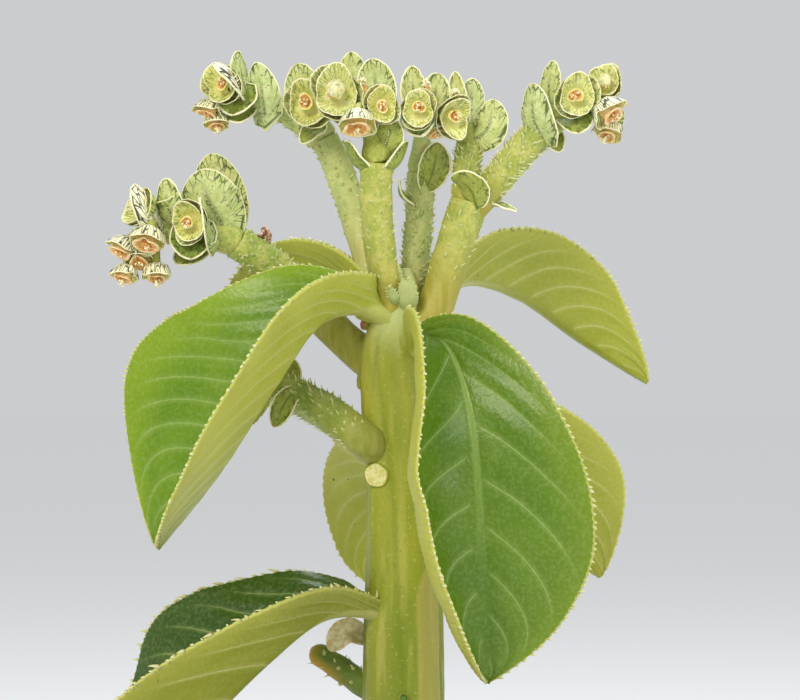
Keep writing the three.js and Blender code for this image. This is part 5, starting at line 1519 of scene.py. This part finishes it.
def add_prickles(shape, points, radii, prickles, rng):
    """Prickles set round a line by the golden angle with some scatter, each on a small bump."""
    start, end, count = prickles
    count = int(count * PRICKLE_CROWD)
    share = np.linspace(start, end, count) + rng.uniform(-0.5, 0.5, count) * (end - start) / count
    centre, along = line_through(points, share)
    first = unit(np.cross(along, BACKWARD))
    second = np.cross(along, first)
    turn = np.arange(count) * GOLDEN_ANGLE + rng.uniform(-0.5, 0.5, count)
    outward = spread(first, second, turn)
    radius = even(radii, share)
    roots = centre + outward * (radius - PRICKLE["sunk"])[:, None]
    direction = outward + along * rng.uniform(0.1, 0.6, (count, 1)) + rng.normal(0, 0.12, (count, 3))
    grown = 0.7 + 0.4 * ramp(share, start, start + 0.4 * (end - start))
    length = rng.uniform(*PRICKLE["length"], count) * grown
    thickness = rng.uniform(*PRICKLE["thickness"], count)
    grid, part = thorns(roots, direction, length, thickness, along * rng.uniform(0.0, 0.5, (count, 1)))
    shape.add(grid, "stalk_skin", tooth=np.clip(part * 1.5 + 0.1, 0, 1), height=1.0)
    beds = centre + outward * (radius - PRICKLE["bump_sunk"])[:, None]
    bumps = balls(beds, rng.uniform(*PRICKLE["bump"], count))
    shape.add(bumps, "stalk_skin", height=1.0, tooth=0.12)


def stalk_piece(name, stalk, seed):
    """A flower stalk with its arms, prickles and bracts."""
    rng = np.random.default_rng(seed)
    shape = Shape()
    for points, radii, prickles in stalk["lines"]:
        rows = int(line_length(points) * STALK_ROWS_PER_MM)
        lumps = rng.uniform(0, 2 * np.pi, 3)

        def swell(share, angle):
            """Low lumps round and along the stalk."""
            wide = 0.1 * np.sin(3 * angle + 8 * share + lumps[0])
            return wide + 0.08 * np.sin(22 * share + 2 * angle + lumps[1])

        share = np.linspace(0, 1, rows)[:, None] + np.zeros(STALK_COLUMNS)
        height = ramp(share, prickles[0] - 0.15, prickles[0] + 0.3)
        # Tones: partly painted shade, ripe yellow and painted sheen
        shade, ripe, frost = STALK_TONES.get(name, PLAIN_TONE)
        thickness = even(radii, share[:, 0])
        if name == "side_shoot":
            run = np.clip((share[:, 0] - ROUND_END["from"]) / (1 - ROUND_END["from"]), 0, 1)
            thickness = thickness * np.sqrt(1 - ROUND_END["loss"] * run**2)
            below = ramp(np.cos(circle(STALK_COLUMNS)), -0.2, 0.8)
            ripe = np.maximum(ramp(share, 0.3, 0.8) * below, 0.8 * ramp(share, 0.85, 1.0))
        grid = rod(points, thickness, rows, STALK_COLUMNS, swell)
        shape.add(grid, "stalk_skin", height=height, shade=shade, ripe=ripe, frost=frost)
        add_prickles(shape, points, radii, prickles, rng)
    for rib, face, width in stalk["bracts"]:
        skin = STALK_BRACT_SKINS.get(name, "dark_bract")
        add_bract(shape, rib, face, width, skin, rng, keel=False)
    return shape.build(name + "_grown", "stalk", name)


# Stem

def stem_at(height):
    """The stem's middle and radius at a height, on straight lines between its stations."""
    x = np.interp(height, STEM[:, 0], STEM[:, 1])
    return np.array([x, 0, height]), np.interp(height, STEM[:, 0], STEM[:, 2])


def add_scar(shape, scar):
    """A low round disc on the stem with a raised ring and a dished middle, turned about the way it faces."""
    height, angle, faces, radius, stand, skin = scar
    middle, stem_radius = stem_at(height)
    place = middle + level_ring(angle) * stem_radius
    outward = level_ring(faces)
    turn = circle(SCAR_COLUMNS)
    uneven = 1 + 0.04 * np.sin(2 * turn + height) + 0.03 * np.sin(5 * turn)
    ring = spread(np.cross(UP, outward), UP, turn)
    rings = []
    for size, lift in SCAR_WALL:
        out = stand * lift if lift > 0 else lift
        rings.append(place + outward * out + ring * (radius * size * uneven)[:, None])
    disc_bands = len(SCAR_WALL) - 1 - SCAR_BARK_BANDS
    shape.add(np.array(rings), ["stem_skin"] * SCAR_BARK_BANDS + [skin] * disc_bands)


def ridge_lift(angle, height):
    """How far the ridges below the leaves stand out: the highest of their bells round the stem,
    each strongest just under its leaf and fading downwards."""
    lift = 0
    for turn, top in LEAF_RIDGES:
        off = wrapped(angle - np.radians(turn))
        run = ramp(height, top - RIDGE_LENGTH, top - 3) * (1 - ramp(height, top, top + 7))
        lift = np.maximum(lift, RIDGE_LIFT * bell(off / RIDGE_WIDTH) * run)
    return lift


def pale_band(angle, height):
    """1 inside the pale band low on the stem, whose top is a half ellipse, and 0 outside it."""
    off = wrapped(angle - BAND["angle"])
    above = np.clip((height - BAND["top"] + BAND["round"]) / BAND["round"], 0, 1)
    room = BAND["width"] * np.sqrt(1 - above**2)
    return ramp(room - np.abs(off), -0.02, 0.07) * (height < BAND["top"])


def stem_piece():
    """The stem: rings whose radius swells in low ridges with shallow grooves, its scars and young leaves."""
    rng = np.random.default_rng(SEEDS["stem"])
    share = np.linspace(0, 1, STEM_ROWS)
    line, _ = line_through(np.c_[STEM[:, 1], 0 * STEM[:, 0], STEM[:, 0]], share, by_length=False)
    size, _ = line_through(np.c_[STEM[:, 2], 0 * STEM[:, 0], STEM[:, 0]], share, by_length=False)
    height = line[:, 2:]
    angle = circle(STEM_COLUMNS)
    turn = STEM_RIDGES * angle + height / STEM_TWIST
    # The groove's mask also carries painted shade into the grooves
    groove = bell(wrapped(turn + np.pi) / GROOVE["width"])
    band = pale_band(angle, height)
    lift = ridge_lift(angle, height)
    radius = size[:, :1] * (1 + STEM_RIDGE_DEPTH * np.cos(turn))
    radius = radius - GROOVE["depth"] * groove * ramp(size[:, :1], 3, 6) + BAND["lift"] * band + lift
    ring = level_ring(angle)
    spots = ring * radius[..., None] + UP * (height / BARK_STRETCH)[..., None]
    for lump, length, seed in BARK_WAVES:
        radius = radius + lump * waves(spots, length, seed)
    grid = line[:, None] + ring * radius[..., None]
    # Painted sheen: paler on the front of the stem near its top
    frost = ramp(height, *FROST_HEIGHTS) * ramp(np.cos(angle + 1.5), 0.2, 0.9) * 0.8
    age = 1 - ramp(height, *AGE_HEIGHTS)
    low = 1 - ramp(height, *LOW_HEIGHTS)
    shape = Shape()
    # The ridge mark holds the pale band and a painted highlight along the leaf ridges
    shape.add(
        grid, "stem_skin", frost=frost, age=age * 0.6 + 0 * turn, low=low * 0.7 + 0 * turn,
        ridge=np.maximum(band * 0.6, lift / RIDGE_LIFT * 0.25), groove=groove * 0.3,
    )
    for scar in SCARS:
        add_scar(shape, scar)
    for leaf in YOUNG_LEAVES:
        blade = add_bract(shape, leaf["rib"], leaf["face"], leaf["width"], "stem_skin", rng, keel=False)
        leaf_teeth(shape, blade, rng, *YOUNG_TEETH, tone=0)
    return shape.build("stem_grown", "stem", "stem")


# Soil and pot

def inner_radius(height):
    """The pot's inner wall: a straight taper from floor to rim."""
    share = (height - POT["floor"]) / (POT["height"] - POT["floor"])
    return POT["inner_foot_radius"] + (POT["inner_rim_radius"] - POT["inner_foot_radius"]) * share


def soil_height(x, y):
    """A low mound at the stem with small waves."""
    share = np.hypot(x, y) / inner_radius(SOIL["top"])
    turn = SOIL["wave_turn"]
    slow = np.sin(x * turn) * np.cos(y * turn)
    quick = np.sin((x - y) * 2 * turn) / 2
    return SOIL["top"] + SOIL["mound"] * (1 - share**2) + SOIL["waves"] * (slow + quick)


def soil_rings(outer, inner):
    """The soil's rings: out under the pot's floor, up its wall, over the top and down the root's hole."""
    ring = level_ring(circle(POT_COLUMNS))
    bottom = POT["floor"] + GAP
    rings = [ring * radius + UP * bottom for radius in (*SOIL_BASE_RINGS, inner_radius(bottom) - GAP)]
    for height in np.linspace(bottom + 10, SOIL["top"] - 1.5, SOIL_WALL_RINGS):
        rings.append(ring * (inner_radius(height) - GAP) + UP * height)
    for radius in np.linspace(outer, inner, SOIL_TOP_RINGS):
        spot = ring * radius
        crumbs = sum(height * waves(spot, *wave) for height, *wave in CRUMBS)
        spot[:, 2] = soil_height(spot[:, 0], spot[:, 1]) + crumbs
        rings.append(spot)
    for height in SOIL_HOLE:
        middle, radius = stem_at(max(height, ROOT_TIP))
        rings.append(ring * (radius + 2 * GAP) + np.array([middle[0], 0, height]))
    return np.array(rings)


def grains_between(inner, outer, count, size, flat, rng):
    """Grains strewn evenly over the soil's top: uneven flattened balls, turned about the upright."""
    distance = np.sqrt(rng.uniform((inner + 1.5) ** 2, (outer - 1.2) ** 2, count))
    turn = rng.uniform(0, 2 * np.pi, count)
    x, y = distance * np.cos(turn), distance * np.sin(turn)
    radii = size * rng.uniform(0.45, 1.25, count)
    centres = np.stack([x, y, soil_height(x, y) + radii * flat * 0.25], -1)
    grains = balls(np.zeros((count, 3)), radii)
    grains = grains * (1 + rng.uniform(-0.22, 0.22, grains.shape[:3] + (1,)))
    grains = grains * rng.uniform(0.7, 1.25, (count, 1, 1, 3)) * np.array([1, 1, flat])
    spin = rng.uniform(0, np.pi, count)[:, None, None]
    spun_x = grains[..., 0] * np.cos(spin) - grains[..., 1] * np.sin(spin)
    spun_y = grains[..., 0] * np.sin(spin) + grains[..., 1] * np.cos(spin)
    return np.stack([spun_x, spun_y, grains[..., 2]], -1) + centres[:, None, None]


def soil_piece():
    """The soil: one closed body round the stem's root, with grit, bark and pumice bedded in its top."""
    rng = np.random.default_rng(SEEDS["soil"])
    outer = inner_radius(SOIL["top"]) - 2 * GAP
    inner = stem_at(SOIL["top"] + 1)[1] + 2 * GAP
    shape = Shape()
    shape.add(soil_rings(outer, inner), "humus")
    for skin, count, size, flat in GRAINS:
        shape.add(grains_between(inner, outer, count, size, flat, rng), skin)
    return shape.build("soil_filled", "soil", "soil")


def rounded(profile, radius, steps=6):
    """A profile whose corners are rounded: each corner is swept from one side to the next by a parabola."""
    profile = np.asarray(profile, float)
    made = [profile[0]]
    for before, corner, after in zip(profile, profile[1:], profile[2:]):
        start, end = (
            corner + unit(side) * min(radius, np.linalg.norm(side) / 2)
            for side in (before - corner, after - corner)
        )
        made.extend(parabola(start, corner, end, share) for share in np.linspace(0, 1, steps))
    made.append(profile[-1])
    return np.array(made)


def filled_in(profile, spacing):
    """The profile with more points, no two further apart than the spacing."""
    made = [profile[:1]]
    for start, end in zip(profile, profile[1:]):
        count = max(1, int(np.ceil(np.linalg.norm(end - start) / spacing)))
        made.append(start + (end - start) * (np.arange(1, count + 1) / count)[:, None])
    return np.concatenate(made)


def pot_piece():
    """The pot: a turned profile with rounded edges, faint rings from the wheel and its drain holes cut."""
    foot = POT["height"] - POT["band_height"]
    profile = rounded([
        (2, 0), (POT["foot_radius"], 0), (POT["wall_top_radius"], foot), (POT["band_radius"], foot),
        (POT["band_radius"], POT["height"]), (POT["inner_rim_radius"], POT["height"]),
        (POT["inner_foot_radius"], POT["floor"]), (2, POT["floor"]),
    ], POT["edge"] * 1.4)
    profile = filled_in(profile, POT_STEP)
    angle = circle(POT_COLUMNS)
    ring = level_ring(angle)
    radius = profile[:, :1] + 0 * angle
    height = profile[:, 1:] + 0 * angle
    spots = ring * radius[..., None] + UP * height[..., None]
    uneven = POT_WHEEL["uneven"] * waves(spots, POT_WHEEL["uneven_size"], SEEDS["pot"])
    wheel = POT_WHEEL["ring"] * np.sin(height * POT_WHEEL["ring_turn"]) * (height < foot)
    radius = radius + ramp(height, 1, 4) * (uneven + wheel)
    grid = ring * radius[..., None] + UP * height[..., None]
    bloom = np.clip(ramp(height, 30, 4) + ramp(height, POT["height"] - 4, POT["height"]), 0, 1)
    shape = Shape()
    shape.add(grid, "fired_clay", bloom=bloom)
    pot = shape.build("pot_turned", "clay", "pot")
    drills = Shape()
    drill = level_ring(circle(DRILL_COLUMNS)) * POT["drain_radius"]
    for number in range(POT["drain_count"]):
        turn = (number + 0.5) / POT["drain_count"] * 2 * np.pi
        middle = POT["drain_offset"] * level_ring(turn)
        drills.add(np.array([middle + drill + UP * z for z in DRILL_HEIGHTS]), "fired_clay")
    cut_holes(pot, drills)
    return pot


def cut_holes(piece, drills):
    """Cuts the drills' bodies out of a piece and puts the result into its mesh."""
    points = np.concatenate(drills.points) * MM
    faces = np.concatenate(drills.quads).tolist() + np.concatenate(drills.corners).tolist()
    mesh = bpy.data.meshes.new("drills")
    mesh.from_pydata(points.tolist(), [], faces)
    mesh.materials.append(bpy.data.materials["fired_clay"])
    tool = bpy.data.objects.new("drills", mesh)
    bpy.context.scene.collection.objects.link(tool)
    cut = piece.modifiers.new("drains", "BOOLEAN")
    cut.operation = "DIFFERENCE"
    cut.object = tool
    cut.solver = "EXACT"
    bpy.context.view_layer.update()
    done = bpy.data.meshes.new_from_object(piece.evaluated_get(bpy.context.evaluated_depsgraph_get()))
    piece.modifiers.clear()
    piece.data = done
    bpy.data.objects.remove(tool)


# The set: floor, lights and camera

def make_floor():
    """A wide pale floor, flat, just under the pot."""
    bpy.ops.mesh.primitive_circle_add(
        vertices=FLOOR["sides"], radius=FLOOR["radius"], fill_type="NGON", location=(0, 0, FLOOR["height"]))
    floor = bpy.context.active_object
    floor.name = "floor"
    glow = {"Emission Color": linear("#ffffff"), "Emission Strength": FLOOR["glow"]}
    skin = Skin("floor_paint", {"Base Color": linear(FLOOR["paint"]), "Roughness": 0.9} | glow)
    floor.data.materials.append(skin.material)


def add_light(name, place, size, power, colour):
    """A square soft light at a place in metres, turned to the aim, that the camera doesn't see itself."""
    lamp = bpy.data.lights.new(name, "AREA")
    lamp.size = size
    lamp.energy = power
    lamp.color = linear(colour)[:3]
    holder = bpy.data.objects.new(name, lamp)
    holder.location = place
    holder.rotation_euler = (Vector(AIM) - Vector(place)).to_track_quat("-Z", "Y").to_euler()
    holder.visible_camera = False
    bpy.context.scene.collection.objects.link(holder)


def make_lights():
    """A soft light high at the front left, a weaker one at the right, one behind, and a pale sky."""
    for name, light in LIGHTS.items():
        add_light(name, *light)
    world = bpy.data.worlds.new("studio")
    world.use_nodes = True
    sky = world.node_tree.nodes["Background"]
    sky.inputs[0].default_value = linear(SKY[0])
    sky.inputs[1].default_value = SKY[1]
    bpy.context.scene.world = world


def make_camera():
    """The photograph's level view: its width in the stem's plane sets the lens."""
    data = bpy.data.cameras.new("camera")
    data.sensor_width = CAMERA["sensor"]
    data.lens = CAMERA["sensor"] * CAMERA["distance"] / CAMERA["view_width"]
    camera = bpy.data.objects.new("camera", data)
    camera.location = np.array([CAMERA["x"], -CAMERA["distance"], CAMERA["height"]]) * MM
    camera.rotation_euler = (np.pi / 2, 0, 0)
    bpy.context.scene.collection.objects.link(camera)
    bpy.context.scene.camera = camera


make_camera()
make_lights()
make_skins()
make_floor()
pot_piece()
soil_piece()
stem_piece()
for number, (name, stalk) in enumerate(STALKS.items()):
    stalk_piece(name, stalk, SEEDS["stalks"] + number)
for number, (name, leaf) in enumerate(LEAVES.items()):
    leaf_piece(name, leaf, SEEDS["leaves"] + number)
for number, (name, head) in enumerate(HEADS.items()):
    head_piece(name, head, SEEDS["heads"] + number)
bpy.context.scene.view_settings.view_transform = "Standard"
